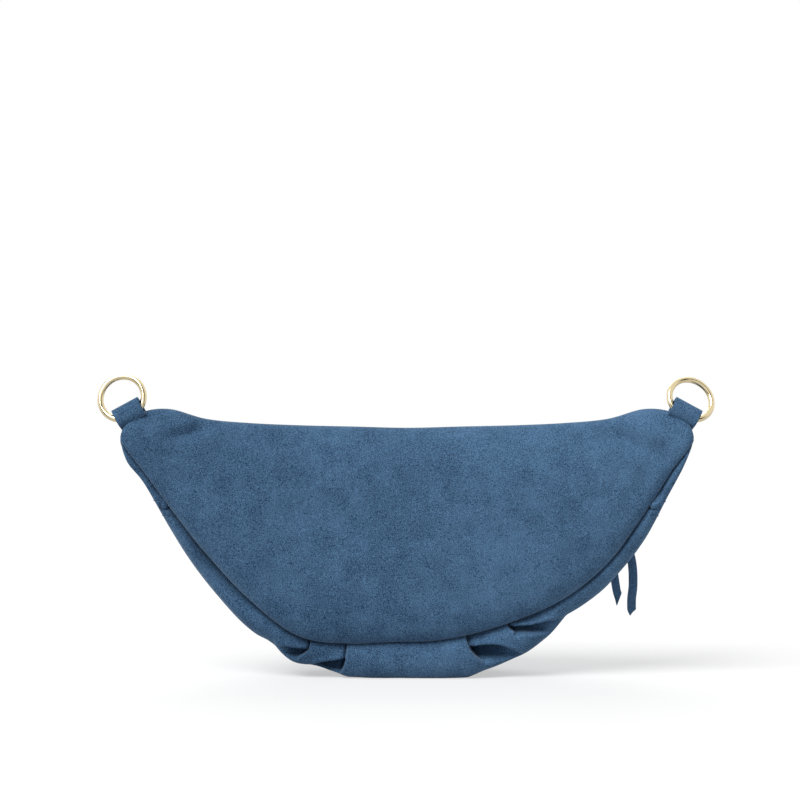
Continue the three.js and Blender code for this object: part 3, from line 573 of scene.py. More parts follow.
# %% Tables of the pleats, in millimetres
# The outline and the edges are rows of (distance from the middle, height), and the folds rows of
# (height, distance). depths are those of the hollows, fades the heights over which a fold runs
# out, and creases the widths of the dark creases.
PLEATS = {
    "left": {
        "outline": ((0, 0), (38, 0), (41, 0.7), (44, 2), (51.4, 4.6), (59, 7.3), (63, 8.1), (67.5, 8.3),
                    (71, 8.8), (74.8, 10.1), (78.7, 12.7), (82.5, 16.4), (86.5, 21.6), (90.4, 24.8),
                    (98.2, 28.9), (112.5, 40.3), (125, 52.7)),
        "folds": (((2.8, 43.1), (5.7, 41.6), (9.2, 40.4), (14.2, 39.6), (22, 38.6)),
                  ((13.7, 71), (15, 68.4), (16.7, 66), (18.7, 64), (20.7, 63.2), (24, 62.3))),
        "edges": (((38, 13.8), (46, 12.2), (52, 11.2), (56.6, 10.4), (60, 9.5), (64, 8.6), (67.5, 8.3)),
                  ((60, 19.4), (64, 19.4), (69, 19.7), (74, 20.2), (79, 21.2), (84, 22.2), (87.6, 23.6))),
        "depths": (15, 11),
        "fades": ((1.5, 6), (11, 17)),
        "creases": (1.5, 1.5),
    },
    "right": {
        "outline": ((0, 0), (40, 0), (45, 1.8), (50, 4), (56, 6.3), (62, 8.8), (69.5, 12), (77.4, 15.6),
                    (81.2, 17.9), (89, 23.7), (93, 27.2), (96.9, 31.5), (100.8, 36.6), (104.7, 41.5),
                    (108.5, 44), (116.4, 49.1), (125, 55)),
        "folds": (((10.6, 49.9), (13.4, 46.1), (16.2, 43), (20, 40.5), (23.7, 38.7), (28, 37.1)),
                  ((31.1, 69.7), (31.8, 67.3), (33.6, 65.1), (35.5, 63.8))),
        "edges": (((38, 20.4), (46, 21.8), (51.7, 22.5), (57.3, 22.6), (62.3, 21.8), (66, 20.5),
                   (69.7, 18.8), (73.5, 17.3), (77.2, 16.2)),
                  ((62, 33), (68.5, 33.6), (74.7, 34.6), (81, 35.5), (87.2, 36.7), (93.4, 38.3),
                   (99.6, 39.8), (105, 41.8))),
        "depths": (19, 13),
        "fades": ((8, 17), (28, 33)),
        "creases": (3.5, 2.5),
    },
}
WALL = 0.8  # width of the steep side of a fold
LAYER_STEP = 2.2  # how much deeper each layer lies than the one before it
CREASE_DEPTH = 4.0
LIP = 0.8  # how far a turned lower edge stands out
BEND = 12.0
PLEATED_REACH = 112.0
HALF_END = 0.745  # the station where the pleated columns end
COLUMN_COUNTS = (52, 5, 40, 5, 62, 50)
ROW_COUNTS = (16, 4, 12, 4, 14)
BAND_LAYERS = (0.3, 0.62)  # heights of the rows where the band has no pleat, as shares
FRONT_ROWS = 44


def lookup(table, value):
    """A smooth curve through a table's rows, level before its first and after its last."""
    xs, ys = np.array(table, float).T
    slopes = np.gradient(ys, xs)
    low = np.clip(np.searchsorted(xs, value) - 1, 0, len(xs) - 2)
    width = xs[low + 1] - xs[low]
    t = np.clip((value - xs[low]) / width, 0, 1)
    return ((2 * t ** 3 - 3 * t ** 2 + 1) * ys[low] + (t ** 3 - 2 * t ** 2 + t) * width * slopes[low]
            + (3 * t ** 2 - 2 * t ** 3) * ys[low + 1] + (t ** 3 - t ** 2) * width * slopes[low + 1])


def between(knots, counts):
    """Values spread evenly between knots that are arrays themselves."""
    parts = [knots[0][None]]
    for start, end, count in zip(knots, knots[1:], counts):
        parts.extend(lerp(start, end, k / count)[None] for k in range(1, count + 1))
    return np.concatenate(parts)


for side, table in PLEATS.items():
    print("the", side, "pleats have hollows of", table["depths"], "mm")


# %% Heights, folds and hollows of one side
def outline_height(table, sign, x):
    """The height of the bag's lowest line, pleats and all."""
    own = underside(x_station(sign * x))
    return np.maximum(lerp(lookup(table["outline"], x), own, smooth(x, 104, 125)), 0)


def edge_heights(table, sign, x, top):
    """The heights of both layers' lower edges, or a share of the band where there is none."""
    low = outline_height(table, sign, x)
    lines = []
    for line, share in zip(table["edges"], BAND_LAYERS):
        first, last = line[0][0], line[-1][0]
        here = smooth(x, first - BEND, first) * (1 - smooth(x, last, last + BEND))
        lines.append(lerp(lerp(low, top, share), lookup(line, x), here))
    second = np.clip(lines[1], low + 0.02, top - 0.5)
    return np.clip(lines[0], low + 0.01, second - 0.01), second


def band_place(station, height, low):
    """The place on the band where it falls to a height, found by halving."""
    start, end = np.zeros_like(height), np.ones_like(height)
    for _ in range(18):
        middle = (start + end) / 2
        above = front_point(station, middle, low)[..., 2] > height
        start, end = np.where(above, middle, start), np.where(above, end, middle)
    return (start + end) / 2


def pleat_depth(table, sign, x, height):
    """How far the surface lies behind the outermost layer."""
    low = outline_height(table, sign, x)
    depth = 0 * x
    columns = (table[name] for name in ("folds", "edges", "depths", "fades", "creases"))
    for fold, line, hollow, fade, crease in zip(*columns):
        past = x - lookup(fold, height)
        edge = lookup(line, x)
        reach = line[-1][0] - fold[-1][1]
        along = 1 - smooth(x, line[-1][0] - 3, line[-1][0] + 1)
        beyond = smooth(past, 0, WALL) * smooth(height, *fade)
        step = LAYER_STEP * (1 - smooth(past, 0.2 * reach, reach))
        step = step + CREASE_DEPTH * np.exp(-(past / crease) ** 2)
        flare = np.clip((height - low) / np.maximum(edge - low, 1), 0, 1) ** 0.9
        pit = hollow * (1 - smooth(past, 0.3 * reach, reach)) * smooth(edge - height, 0, WALL) * flare
        lip = LIP * along * np.exp(-((height - edge - 1.3) / 1.2) ** 2)
        depth = depth + (step + pit - lip) * beyond
    return depth


print("the left folds start", [round(float(lookup(fold, 0)), 1) for fold in PLEATS["left"]["folds"]],
      "mm from the middle")


# %% The grid of one side
def fold_columns(table, height):
    """Distances from the middle, so that columns of the grid run along both folds."""
    first, second = (lookup(fold, height[sum(COLUMN_COUNTS[:2 * k + 1])])
                     for k, fold in enumerate(table["folds"]))
    level = 0 * first
    end = float(station_x(HALF_END))
    return between((level, first, first + WALL, second, second + WALL, level + PLEATED_REACH,
                    level + end), COLUMN_COUNTS)


def edge_rows(table, sign, x, top, low):
    """Heights, so that rows of the grid run along both lower edges."""
    lower, upper = edge_heights(table, sign, x, top)
    knots = [top, upper, np.maximum(upper - WALL, lerp(lower, upper, 0.4)), lower,
             np.maximum(lower - WALL, lerp(low, lower, 0.6)), low]
    rows = []
    for k, count in enumerate(ROW_COUNTS):
        for step in range(count):
            row = len(rows)
            share = step / count
            share = 1 - (1 - share) ** 2 if k == len(ROW_COUNTS) - 1 else share
            rows.append(lerp(knots[k][:, row], knots[k + 1][:, row], share))
    return np.stack([*rows, low[:, -1]], 1)


def pleated_half(side):
    """Half of the lower panel. Folds depend on heights and edges on distances, so six rounds of
    setting one by the other bring the grid to rest."""
    table = PLEATS[side]
    sign = -1 if side == "left" else 1
    height = np.full((sum(COLUMN_COUNTS) + 1, sum(ROW_COUNTS) + 1), 30.0)
    for _ in range(6):
        x = fold_columns(table, height)
        seam = corners(x_station(sign * x))[2]
        top = np.minimum(seam[1] - 0.05, ZIP_HEIGHT - slot_half(x))
        low = outline_height(table, sign, x)
        height = edge_rows(table, sign, x, top, low)
    band = np.maximum(band_place(x_station(sign * x), height, low), 0.01)
    band[:, -1] = 1
    depth = pleat_depth(table, sign, x, height)
    edge = ZIP_HEIGHT - slot_half(x[:, -1])
    kept = low[:, -1] < edge - 0.2
    end = place_at(x_station(sign * x[:, -1]), edge)
    share = np.linspace(0, 1, FRONT_ROWS + 1)[None, 1:]
    front = lerp(1.0, end[:, None], share)
    place = np.concatenate([band, front], 1)
    x = np.concatenate([x, np.repeat(x[:, -1:], FRONT_ROWS, 1)], 1)
    depth = np.concatenate([depth, np.zeros((len(x), FRONT_ROWS))], 1)
    under = outline_height(table, sign, x)
    order = slice(None, None, sign)
    return front_surface(x_station(sign * x)[kept][order], place[kept][order], under[kept][order],
                         depth[kept][order])


# %% Make the front panels
COLUMNS = 361
BAND_ROWS = 24
UPPER_ROWS = 60
LAP = 2.5  # how far the upper panel's edge goes on below the seam
LAP_DEPTH = 0.9


def make_lower():
    """The panel below the zip, from its two pleated halves."""
    left, right = pleated_half("left"), pleated_half("right")
    grid, ways = (np.concatenate([l[:-1], r]) for l, r in zip(left, right))
    return report(weld(shell("front_lower_suede", grid, ways)))


def make_upper():
    """The panel above the zip. Beyond the zip's ends it goes round under the bag to the back seam."""
    station = np.linspace(-PANEL_REACH, PANEL_REACH, COLUMNS)
    seam_z = corners(station)[2][1]
    side = station > 0
    starts = [np.interp(ZIP_HEIGHT - LAP, seam_z[side], station[side]),
              np.interp(ZIP_HEIGHT - LAP, seam_z[~side][::-1], station[~side][::-1])]
    station = np.union1d(station, starts)
    x = station_x(station)
    beyond = smooth(np.abs(x), CHAIN_HALF + 3, CHAIN_HALF + SLOT_HALF)
    edge = ZIP_HEIGHT + slot_half(x) - (SLIT_HALF + LAP) * beyond
    low = np.maximum(band_place_at(station, edge), 0.01)
    band = spread(np.full_like(station, 0.01), low, BAND_ROWS)
    front = spread(place_at(station, edge), np.full_like(station, 3.985), UPPER_ROWS)
    grid, ways = front_surface(station[:, None], np.concatenate([band, front], 1), lap=LAP_DEPTH)
    keep = np.ones((len(station) - 1, BAND_ROWS + UPPER_ROWS - 1), bool)
    wing = (low > 0.012) & (np.abs(x) > CHAIN_HALF)
    keep[:, :BAND_ROWS - 1] = (wing[1:] | wing[:-1])[:, None]
    whole = underside(station) > edge
    keep[:, BAND_ROWS - 1] = whole[1:] | whole[:-1]
    return report(weld(shell("front_upper_suede", grid, ways, keep=keep), 0.05))


front_lower = make_lower()
front_upper = make_upper()


# %% [markdown]
# ## The linings
#
# A cotton lining lies inside each panel, smooth and held along its edges. Behind the pleats and
# the deep dents it sits a little deeper than in the imported model, to stay clear of the folds. The
# size that each sheet was cut to is measured along it here.

# %% Make the linings
LINING_DEPTH = 2.4
LINING_LIFT = 18.0  # how far the lining stays above the pleated bottom
DENT_ROOM = 4.5
PLEAT_ROOM = 4.0
LINING_REACH = 157.0


def cloth(name, grid):
    """A piece of lining with the width, length and area of its cut, in metres."""
    along = np.linalg.norm(np.diff(grid, axis=0), axis=-1).sum(0).max()
    across = np.linalg.norm(np.diff(grid, axis=1), axis=-1).sum(1).max()
    made = mesh_object(name, grid.reshape(-1, 3), grid_faces(*grid.shape[:2]))
    area = sum(face.area for face in made.data.polygons)
    print(name, "is cut", round(along), "by", round(across), "mm, of", round(area * 1e4), "square cm")
    return report(thicken(made, CLOTH)), (along * MM, across * MM), area


def make_back_lining():
    """It keeps away from the dents beside the loops."""
    station = x_station(np.linspace(-LINING_REACH, LINING_REACH, 121))
    turn = np.linspace(0.12, 0.9, 40)
    grid = back_point(station[:, None], turn[None, :])
    depth = LINING_DEPTH + DENT_ROOM * smooth(np.abs(station_x(station)), 80, 115)
    return cloth("back_lining_cloth", grid - outward(grid) * depth[:, None, None])


def make_front_lining(name, sign):
    """The lining above the zip, for a sign of 1, or below it, for -1."""
    station = x_station(np.linspace(-LINING_REACH, LINING_REACH, 161))
    x = station_x(station)
    edge = place_at(station, ZIP_HEIGHT + sign * (slot_half(x) + 1))
    if sign > 0:
        start, end = edge, np.full_like(edge, 3.86)
    else:
        low = band_place_at(station, ZIP_HEIGHT - slot_half(x) - 1)
        low = np.maximum(low, 0.25 + 0.5 * band_slack(x))
        kept = underside(station) < ZIP_HEIGHT - 3
        station, x, start, end = station[kept], x[kept], low[kept], edge[kept]
    places = spread(start, end, 50)
    behind = smooth(np.abs(x), 22, 36)[:, None] * (1 - smooth(np.abs(x), 96, 116))[:, None]
    grid = front_point(station[:, None], places, underside(station)[:, None] + LINING_LIFT * behind)
    depth = LINING_DEPTH + PLEAT_ROOM * behind * smooth(3 - places, 0.3, 1)
    return cloth(name, grid - outward(grid) * depth[..., None])


back_lining = make_back_lining()
upper_lining = make_front_lining("front_upper_lining_cloth", 1)
lower_lining = make_front_lining("front_lower_lining_cloth", -1)

# %% [markdown]
# ## The zip
#
# The tapes lie on the front's cone, 1.5 mm below the suede, and deeper where the hems are sewn over
# them. Their inner edges, and the teeth clamped on them, keep to the middle line as far as the
# slider and part inside it. Each row of teeth is one tooth repeated along a line by Geometry Nodes,
# which keeps the pitch a number that can be changed, where ninety modelled teeth would have to be
# moved one by one.

# %% Frames along the zip
TOOTH_PITCH = 3.5
TOOTH_THICK = 1.3  # along the zip
TOOTH_HALF = 1.3  # half its width through the tape
TAPE_DEPTH = 1.5
SEWN_DEPTH = 1.9
TAPE_MIDDLE = TAPE_DEPTH + CLOTH / 2
TAPE_EDGE = 1.35
TAPE_HALF_WIDTH = 14.0
TAPE_TAIL = 9.0  # length of tape beyond the last tooth
SLIDER_LENGTH = 13.0
SPREAD = 2.3  # how far each row of teeth stands off the middle behind the slider
STOP_LENGTH = 2.0
CHAIN_TURN = math.asin(CHAIN_HALF / FRONT_RADIUS)
SLIDER_TURN = CHAIN_TURN - (STOP_LENGTH + GAP + SLIDER_LENGTH / 2) / FRONT_RADIUS


def zip_matrix(turn):
    """X along the zip, Y out of the bag, Z up the slope of the front, in millimetres."""
    outwards = Vector((math.sin(turn), math.cos(turn), 0))
    along = Vector((math.cos(turn), -math.sin(turn), 0))
    lean = Matrix.Rotation(LEAN, 3, along)
    normal, slope = lean @ outwards, lean @ Vector((0, 0, 1))
    made = Matrix((along, normal, slope)).transposed().to_4x4()
    made.translation = outwards * FRONT_RADIUS + Vector((0, FRONT_AXIS_Y, ZIP_HEIGHT))
    return made


def parting(turn):
    """How far a row of teeth is off the middle: the slider's diamond drives the rows apart."""
    share = ((turn - SLIDER_TURN) * FRONT_RADIUS / SLIDER_LENGTH + 0.1) / 0.55
    share = min(max(share, 0), 1)
    return SPREAD * share * share * (3 - 2 * share)


print("the slider stands", round(math.degrees(SLIDER_TURN), 1), "degrees round the zip's curve")


def node(tree, kind, inputs=None, **settings):
    """Adds a node with its settings. An input is linked if it is a socket and set if it is a value."""
    made = tree.nodes.new(kind)
    for name, value in settings.items():
        setattr(made, name, value)
    for name, value in (inputs or {}).items():
        if isinstance(value, bpy.types.NodeSocket):
            tree.links.new(value, made.inputs[name])
        else:
            made.inputs[name].default_value = value
    return made


# %% A node tree that repeats a piece along a line
def repeat_tree():
    tree = bpy.data.node_groups.new("repeat along a line", "GeometryNodeTree")
    sockets = (
        ("Geometry", "INPUT", "NodeSocketGeometry"), ("Piece", "INPUT", "NodeSocketObject"),
        ("Spacing", "INPUT", "NodeSocketFloat"), ("Material", "INPUT", "NodeSocketMaterial"),
        ("Geometry", "OUTPUT", "NodeSocketGeometry"),
    )
    for name, way, kind in sockets:
        tree.interface.new_socket(name=name, in_out=way, socket_type=kind)
    given = node(tree, "NodeGroupInput").outputs
    curve = node(tree, "GeometryNodeMeshToCurve", {0: given["Geometry"]})
    even = node(tree, "GeometryNodeResampleCurve", {
        "Curve": curve.outputs[0], "Length": given["Spacing"]}, mode="LENGTH")
    tangent = node(tree, "GeometryNodeInputTangent")
    lift = node(tree, "GeometryNodeInputNamedAttribute", {"Name": "lift"}, data_type="FLOAT_VECTOR")
    turned = node(tree, "FunctionNodeAlignRotationToVector", {"Vector": tangent.outputs[0]}, axis="X")
    upright = node(tree, "FunctionNodeAlignRotationToVector",
                   {"Rotation": turned.outputs[0], "Vector": lift.outputs[0]}, axis="Z", pivot_axis="X")
    piece = node(tree, "GeometryNodeObjectInfo", {"Object": given["Piece"]})
    placed = node(tree, "GeometryNodeInstanceOnPoints", {
        "Points": even.outputs[0], "Instance": piece.outputs["Geometry"],
        "Rotation": upright.outputs[0]})
    real = node(tree, "GeometryNodeRealizeInstances", {0: placed.outputs[0]})
    finished = node(tree, "GeometryNodeSetMaterial", {
        "Geometry": real.outputs[0], "Material": given["Material"]})
    node(tree, "NodeGroupOutput", {0: finished.outputs[0]})
    return tree


REPEAT = repeat_tree()
print("the tree that repeats a piece has", len(REPEAT.nodes), "nodes")


def repeat_along(name, lines, lifts, piece, spacing, material):
    """Repeats a piece along one or more lines of points. lift turns the piece's Z to each direction."""
    made = bpy.data.objects.new(name, bpy.data.meshes.new(name))
    points, edges, ups = [], [], []
    for line, lift in zip(lines, lifts):
        first = len(points)
        points.extend(tuple(np.asarray(p, float) * MM) for p in line)
        ups.extend(tuple(u) for u in lift)
        edges.extend((i, i + 1) for i in range(first, len(points) - 1))
    made.data.from_pydata(points, edges, [])
    attribute = made.data.attributes.new("lift", "FLOAT_VECTOR", "POINT")
    attribute.data.foreach_set("vector", np.array(ups, float).ravel())
    bpy.context.scene.collection.objects.link(made)
    nodes = made.modifiers.new("repeat", "NODES")
    nodes.node_group = REPEAT
    inputs = [item for item in REPEAT.interface.items_tree if item.in_out == "INPUT"]
    given = {item.name: item.identifier for item in inputs}
    nodes[given["Piece"]] = piece
    nodes[given["Spacing"]] = spacing * MM
    nodes[given["Material"]] = material
    bpy.context.view_layer.update()
    plain_mesh(made)
    return made


# %% [markdown]
# ## Finishes
#
# Suede is leather buffed until its fibres stand up. It has no shine of its own, but the fibres
# catch light at the edges, which the sheen gives. Its colour is uneven at three scales: the
# grain of the nap, marks of a few centimetres where the nap lies another way, and broad shades.
# Noise is the right texture, since nothing in it repeats. All scales are written in millimetres.
# The fibres of a real nap are too fine to show, so the grain is drawn coarser, at 0.6 mm.

# %% Colours and coordinates
def srgb(code):
    channels = [int(code[i:i + 2], 16) / 255 for i in (1, 3, 5)]
    return [c / 12.92 if c <= 0.04045 else ((c + 0.055) / 1.055) ** 2.4 for c in channels] + [1.0]


def new_material(name):
    material = bpy.data.materials.new(name)
    material.use_nodes = True
    material.node_tree.nodes.clear()
    return material, material.node_tree


def mottled(tree, size, detail=2.0, roughness=0.55):
    """An uneven pattern whose blobs measure about a size in millimetres."""
    place = node(tree, "ShaderNodeTexCoord")
    return node(tree, "ShaderNodeTexNoise", {
        "Vector": place.outputs["Object"], "Scale": 1 / (size * MM), "Detail": detail,
        "Roughness": roughness})


print("sRGB #808080 is", round(srgb("#808080")[0], 3), "of white in linear light")


# %% Suede
NAP_MARKS = (16, 3, 0.6, 0.3, 0.7, 0.0, 0.28)
NAP_SHADES = (75, 2, 0.5, 0.3, 0.7, 0.0, 0.16)


def suede(name, dark, light, grain=0.6, nap=0.35):
    """Suede between two colours, with a nap of fine grain, marks and broad shades, and painted light that
    makes its right end lighter.
    """
    material, tree = new_material(name)
    # Painted light: the colour is painted lighter towards the bag's right end (+X), standing in for light
    # that falls more brightly on that side.
    place = node(tree, "ShaderNodeTexCoord")
    parts = node(tree, "ShaderNodeSeparateXYZ", {0: place.outputs["Object"]})
    lean = node(tree, "ShaderNodeMapRange", {
        "Value": parts.outputs["X"], "From Min": -80 * MM, "From Max": 100 * MM,
        "To Min": -0.03, "To Max": 0.09}, interpolation_type="SMOOTHSTEP")
    share = lean.outputs[0]
    # Each layer: size, detail, roughness, the noise it uses from and to, what that adds from and to
    layers = ((grain, 3, 0.7, 0.38, 0.62, -0.2, 0.76), NAP_MARKS, NAP_SHADES)
    patterns = [mottled(tree, *layer[:3]) for layer in layers]
    for pattern, (_, _, _, low, high, least, most) in zip(patterns, layers):
        added = node(tree, "ShaderNodeMapRange", {
            "Value": pattern.outputs[0], "From Min": low, "From Max": high,
            "To Min": least, "To Max": most})
        both = node(tree, "ShaderNodeMath", {0: share, 1: added.outputs[0]}, operation="ADD")
        share = both.outputs[0]
    colour = node(tree, "ShaderNodeValToRGB", {"Fac": share})
    colour.color_ramp.elements[0].color = srgb(dark)
    colour.color_ramp.elements[1].color = srgb(light)
    relief_of_nap = node(tree, "ShaderNodeBump", {
        "Height": patterns[0].outputs[0], "Distance": nap * MM, "Strength": 0.7})
    # Leather's index of refraction is about 1.5, and a nap is as rough as a surface gets.
    skin = node(tree, "ShaderNodeBsdfPrincipled", {
        "Base Color": colour.outputs[0], "Roughness": 0.95, "IOR": 1.5, "Specular IOR Level": 0.15,
        "Sheen Weight": 0.7, "Sheen Roughness": 0.35, "Sheen Tint": srgb("#A9C0D6"),
        "Normal": relief_of_nap.outputs[0]})
    node(tree, "ShaderNodeOutputMaterial", {"Surface": skin.outputs[0]})
    return material


BLUE_SUEDE = suede("blue_suede", "#142F4B", "#5A7EA1")
TAB_SUEDE = suede("blue_suede_tab", "#142F4B", "#5A7EA1")
LACE_SUEDE = suede("blue_suede_lace", "#19334E", "#5A7EA1", nap=0.2)
print("three suedes made")


# %% [markdown]
# ## Metal, tape, lining and thread
#
# The rings and the zip are brass, polished and plated a pale gold, so they are gloss and hardly
# any colour of their own shows between the highlights. The tape and the lining are woven: a twill's
# diagonal rib shows as fine slanting lines, which a wave texture draws evenly, as a loom does. The
# thread is polyester, matt and a little lighter than the suede. Image textures could show a real
# cloth, but these need no file and keep their scale on any piece.

# %% Metal, tape, lining and thread
def polished_metal(name, colour, roughness):
    """Plated brass. A faint unevenness in its polish keeps highlights from looking drawn."""
    material, tree = new_material(name)
    wear = mottled(tree, 12, 1)
    polish = node(tree, "ShaderNodeMapRange", {
        "Value": wear.outputs[0], "To Min": roughness * 0.9, "To Max": roughness * 1.2})
    metal = node(tree, "ShaderNodeBsdfPrincipled", {
        "Base Color": srgb(colour), "Metallic": 1.0, "Roughness": polish.outputs[0]})
    node(tree, "ShaderNodeOutputMaterial", {"Surface": metal.outputs[0]})
    return material


def woven(name, dark, light, pitch, slant):
    """Cloth with a diagonal rib. A real rib of about 0.5 mm is drawn coarser, at the pitch given in
    millimetres, because it would be too fine to show."""
    material, tree = new_material(name)
    place = node(tree, "ShaderNodeTexCoord")
    turned = node(tree, "ShaderNodeMapping", {
        "Vector": place.outputs["Object"], "Rotation": (0, slant, 0)})
    # At a scale of 1 a wave texture has a rib every pi / 10 of a metre.
    rib = node(tree, "ShaderNodeTexWave", {
        "Vector": turned.outputs[0], "Scale": math.pi / 10 / (pitch * MM), "Distortion": 0.6,
        "Detail": 1.0}, bands_direction="X")
    colour = node(tree, "ShaderNodeValToRGB", {"Fac": rib.outputs["Fac"]})
    colour.color_ramp.elements[0].color = srgb(dark)
    colour.color_ramp.elements[1].color = srgb(light)
    bumps = node(tree, "ShaderNodeBump", {
        "Height": rib.outputs["Fac"], "Distance": 0.15 * MM, "Strength": 0.6})
    weave = node(tree, "ShaderNodeBsdfPrincipled", {
        "Base Color": colour.outputs[0], "Roughness": 0.9, "Specular IOR Level": 0.2,
        "Sheen Weight": 0.1, "Normal": bumps.outputs[0]})
    node(tree, "ShaderNodeOutputMaterial", {"Surface": weave.outputs[0]})
    return material


PALE_GOLD = polished_metal("polished_pale_gold", "#E6D6B0", 0.17)
ZIP_GOLD = polished_metal("polished_pale_gold_zip", "#DFCCA2", 0.16)
TAPE_WEAVE = woven("blue_zip_tape", "#2A4058", "#3E5975", 2.0, 0.8)
LINING_TWILL = woven("blue_cotton_twill", "#2C3F52", "#42586E", 2.4, 0.8)
# Polyester thread has no nap, but its twisted fibres are as matt as suede's and as uneven close to.
THREAD = suede("blue_thread", "#46678A", "#6486A6", grain=0.4, nap=0.05)
print("metal, tape, lining and thread made")


# %% Make the tapes and the teeth
def chain_point(turn, across, depth=TAPE_MIDDLE):
    """A point near the zip: across is up the slope, depth is below the suede's face."""
    return zip_matrix(turn) @ Vector((0, -depth, across))


def tape_grid(side, columns=241, rows=15):
    """The tape on the zip's cone. Its inner edge comes to the middle just before the stops."""
    end = math.asin((CHAIN_HALF + TAPE_TAIL) / FRONT_RADIUS)
    turns = np.linspace(-end, end, columns)
    grid = np.zeros((columns, rows, 3))
    for i, turn in enumerate(turns):
        x = FRONT_RADIUS * math.sin(turn)
        corner = min(max((abs(x) - CHAIN_HALF) / TAPE_TAIL, 0), 1) * TAPE_HALF_WIDTH / 2
        sewn = float(smooth(abs(x), CHAIN_HALF - 2.5, CHAIN_HALF - 0.5))
        inner = lerp(TAPE_EDGE + parting(turn), 0.05, sewn)
        for j, across in enumerate(np.linspace(inner, TAPE_HALF_WIDTH - corner, rows)):
            grid[i, j] = chain_point(turn, side * across, TAPE_DEPTH)
    return grid


def tape(name, side):
    """The tape, below the front's section where it is bare and below the panels where it is sewn."""
    grid = tape_grid(side)
    heights = grid[..., 2]
    station = x_station(grid[:, 0, 0])
    places = np.linspace(2.05, 3.95, 260)
    skin = front_point(station[:, None], places[None, :])
    skin = skin - outward(skin) * TAPE_DEPTH
    panel = front_surface(station[:, None], places[None, :])[0]
    panel[..., 2] = np.maximum.accumulate(panel[..., 2], axis=1)
    for i in range(len(grid)):
        bare = np.interp(heights[i], skin[i, :, 2], skin[i, :, 1])
        sewn_on = np.interp(heights[i], panel[i, :, 2], panel[i, :, 1]) - SEWN_DEPTH
        past = np.abs(heights[i] - ZIP_HEIGHT) - slot_half(grid[i, 0, 0])
        grid[i, :, 1] = lerp(bare, np.minimum(bare, sewn_on), smooth(past, -0.4, 0.8))
    if side < 0:
        grid = grid[:, ::-1]  # the other way round, so that its faces still point outwards
    made = mesh_object(name, grid.reshape(-1, 3), grid_faces(*grid.shape[:2]), TAPE_WEAVE)
    return report(thicken(made, CLOTH))


def tooth_piece():
    """One tooth, its nose along -Z and its legs on the tape along +Z."""
    outline = ((2.6, TOOTH_HALF), (2.2, TOOTH_HALF), (0.9, 1.2), (0.2, 0.9), (-0.55, 0.85), (-0.8, 0.6))
    points = []
    for z, y in outline:
        thick = TOOTH_THICK / 2 if z > 0.5 else TOOTH_THICK / 2 - 0.05
        points.extend([(-thick, -y, z), (thick, -y, z), (thick, y, z), (-thick, y, z)])
    made = mesh_object("tooth", points, tube_faces(len(outline), 4))
    shape = bmesh.new()
    shape.from_mesh(made.data)
    bmesh.ops.bevel(shape, geom=shape.edges[:], offset=0.12 * MM, segments=1, affect="EDGES")
    bmesh.ops.recalc_face_normals(shape, faces=shape.faces)
    shape.to_mesh(made.data)
    shape.free()
    return made


def teeth(name, side, piece):
    """A row of teeth. The lower row stands half a pitch further on, so that the rows interlock."""
    pitch = TOOTH_PITCH / FRONT_RADIUS
    room = (STOP_LENGTH + GAP + TOOTH_THICK / 2) / FRONT_RADIUS
    first = room - CHAIN_TURN + (0 if side > 0 else pitch / 2)
    turns = []
    while first <= CHAIN_TURN - room:
        turns.append(first)
        first += pitch
    line = [chain_point(turn, side * parting(turn)) for turn in turns]
    lift = [(zip_matrix(turn).to_3x3() @ Vector((0, 0, side))) for turn in turns]
    # The spacing is a hair less than the pitch, so that rounding doesn't cost a row its last tooth.
    made = repeat_along(name, [line], [lift], piece, TOOTH_PITCH * 0.9995, ZIP_GOLD)
    return report(made)


tooth = tooth_piece()
upper_tape, lower_tape = tape("zip_tape_upper", 1), tape("zip_tape_lower", -1)
upper_teeth, lower_teeth = teeth("zip_teeth_upper", 1, tooth), teeth("zip_teeth_lower", -1, tooth)
bpy.data.objects.remove(tooth)


# %% [markdown]
# ## The slider and the stops
#
# These are hard and exact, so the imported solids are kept. A small Bevel catches the light on
# their edges, as the rounded edges of a die-cast slider do.

# %% Soften the metal edges
def bevel(piece, width, material):
    """Rounds a metal piece's edges by a width in millimetres."""
    piece.data.materials.clear()
    piece.data.materials.append(material)
    edge = piece.modifiers.new("bevel", "BEVEL")
    edge.width = width * MM
    edge.segments = 3
    edge.limit_method = "ANGLE"
    edge.harden_normals = True
    for face in piece.data.polygons:
        face.use_smooth = True
    return piece


STOPS = ("zip_top_stop_upper", "zip_top_stop_lower", "zip_bottom_stop")
nodes = frame["nodes"]
bevel(nodes["zip_slider"], 0.22, ZIP_GOLD)
for stop in STOPS:
    bevel(nodes[stop], 0.2, ZIP_GOLD)
print("bevelled the slider and", len(STOPS), "stops")

# %% [markdown]
# ## The pull thong
#
# A flat suede lace is folded over the slider's bail, knotted below it, and hangs in two ends cut
# on the slant. Each stretch is a rounded strip swept along its own line. The knot is a wrap
# round both plies with one strand crossing it, which is what an overhand knot shows.

# %% Strips swept along a line
def curve_through(points, count):
    """A smooth line through the given points."""
    points = np.asarray(points, float)
    padded = np.vstack([2 * points[0] - points[1], points, 2 * points[-1] - points[-2]])
    t = np.linspace(0, len(points) - 1, count)
    k = np.minimum(t.astype(int), len(points) - 2)
    u = (t - k)[:, None]
    a, b, c, d = padded[k], padded[k + 1], padded[k + 2], padded[k + 3]
    square, cube = 2 * a - 5 * b + 4 * c - d, 3 * b - a - 3 * c + d
    return 0.5 * (2 * b + (c - a) * u + square * u ** 2 + cube * u ** 3)


def rounded_outline(width, thickness):
    """The lace's cross-section, with three points round each corner."""
    corner = thickness * 0.32
    outline = []
    for cx, cy, turn in ((1, 1, 0), (-1, 1, 90), (-1, -1, 180), (1, -1, 270)):
        for k in range(3):
            a = math.radians(turn + 45 * k)
            outline.append((cx * (width / 2 - corner) + corner * math.cos(a),
                            cy * (thickness / 2 - corner) + corner * math.sin(a)))
    return np.array(outline)


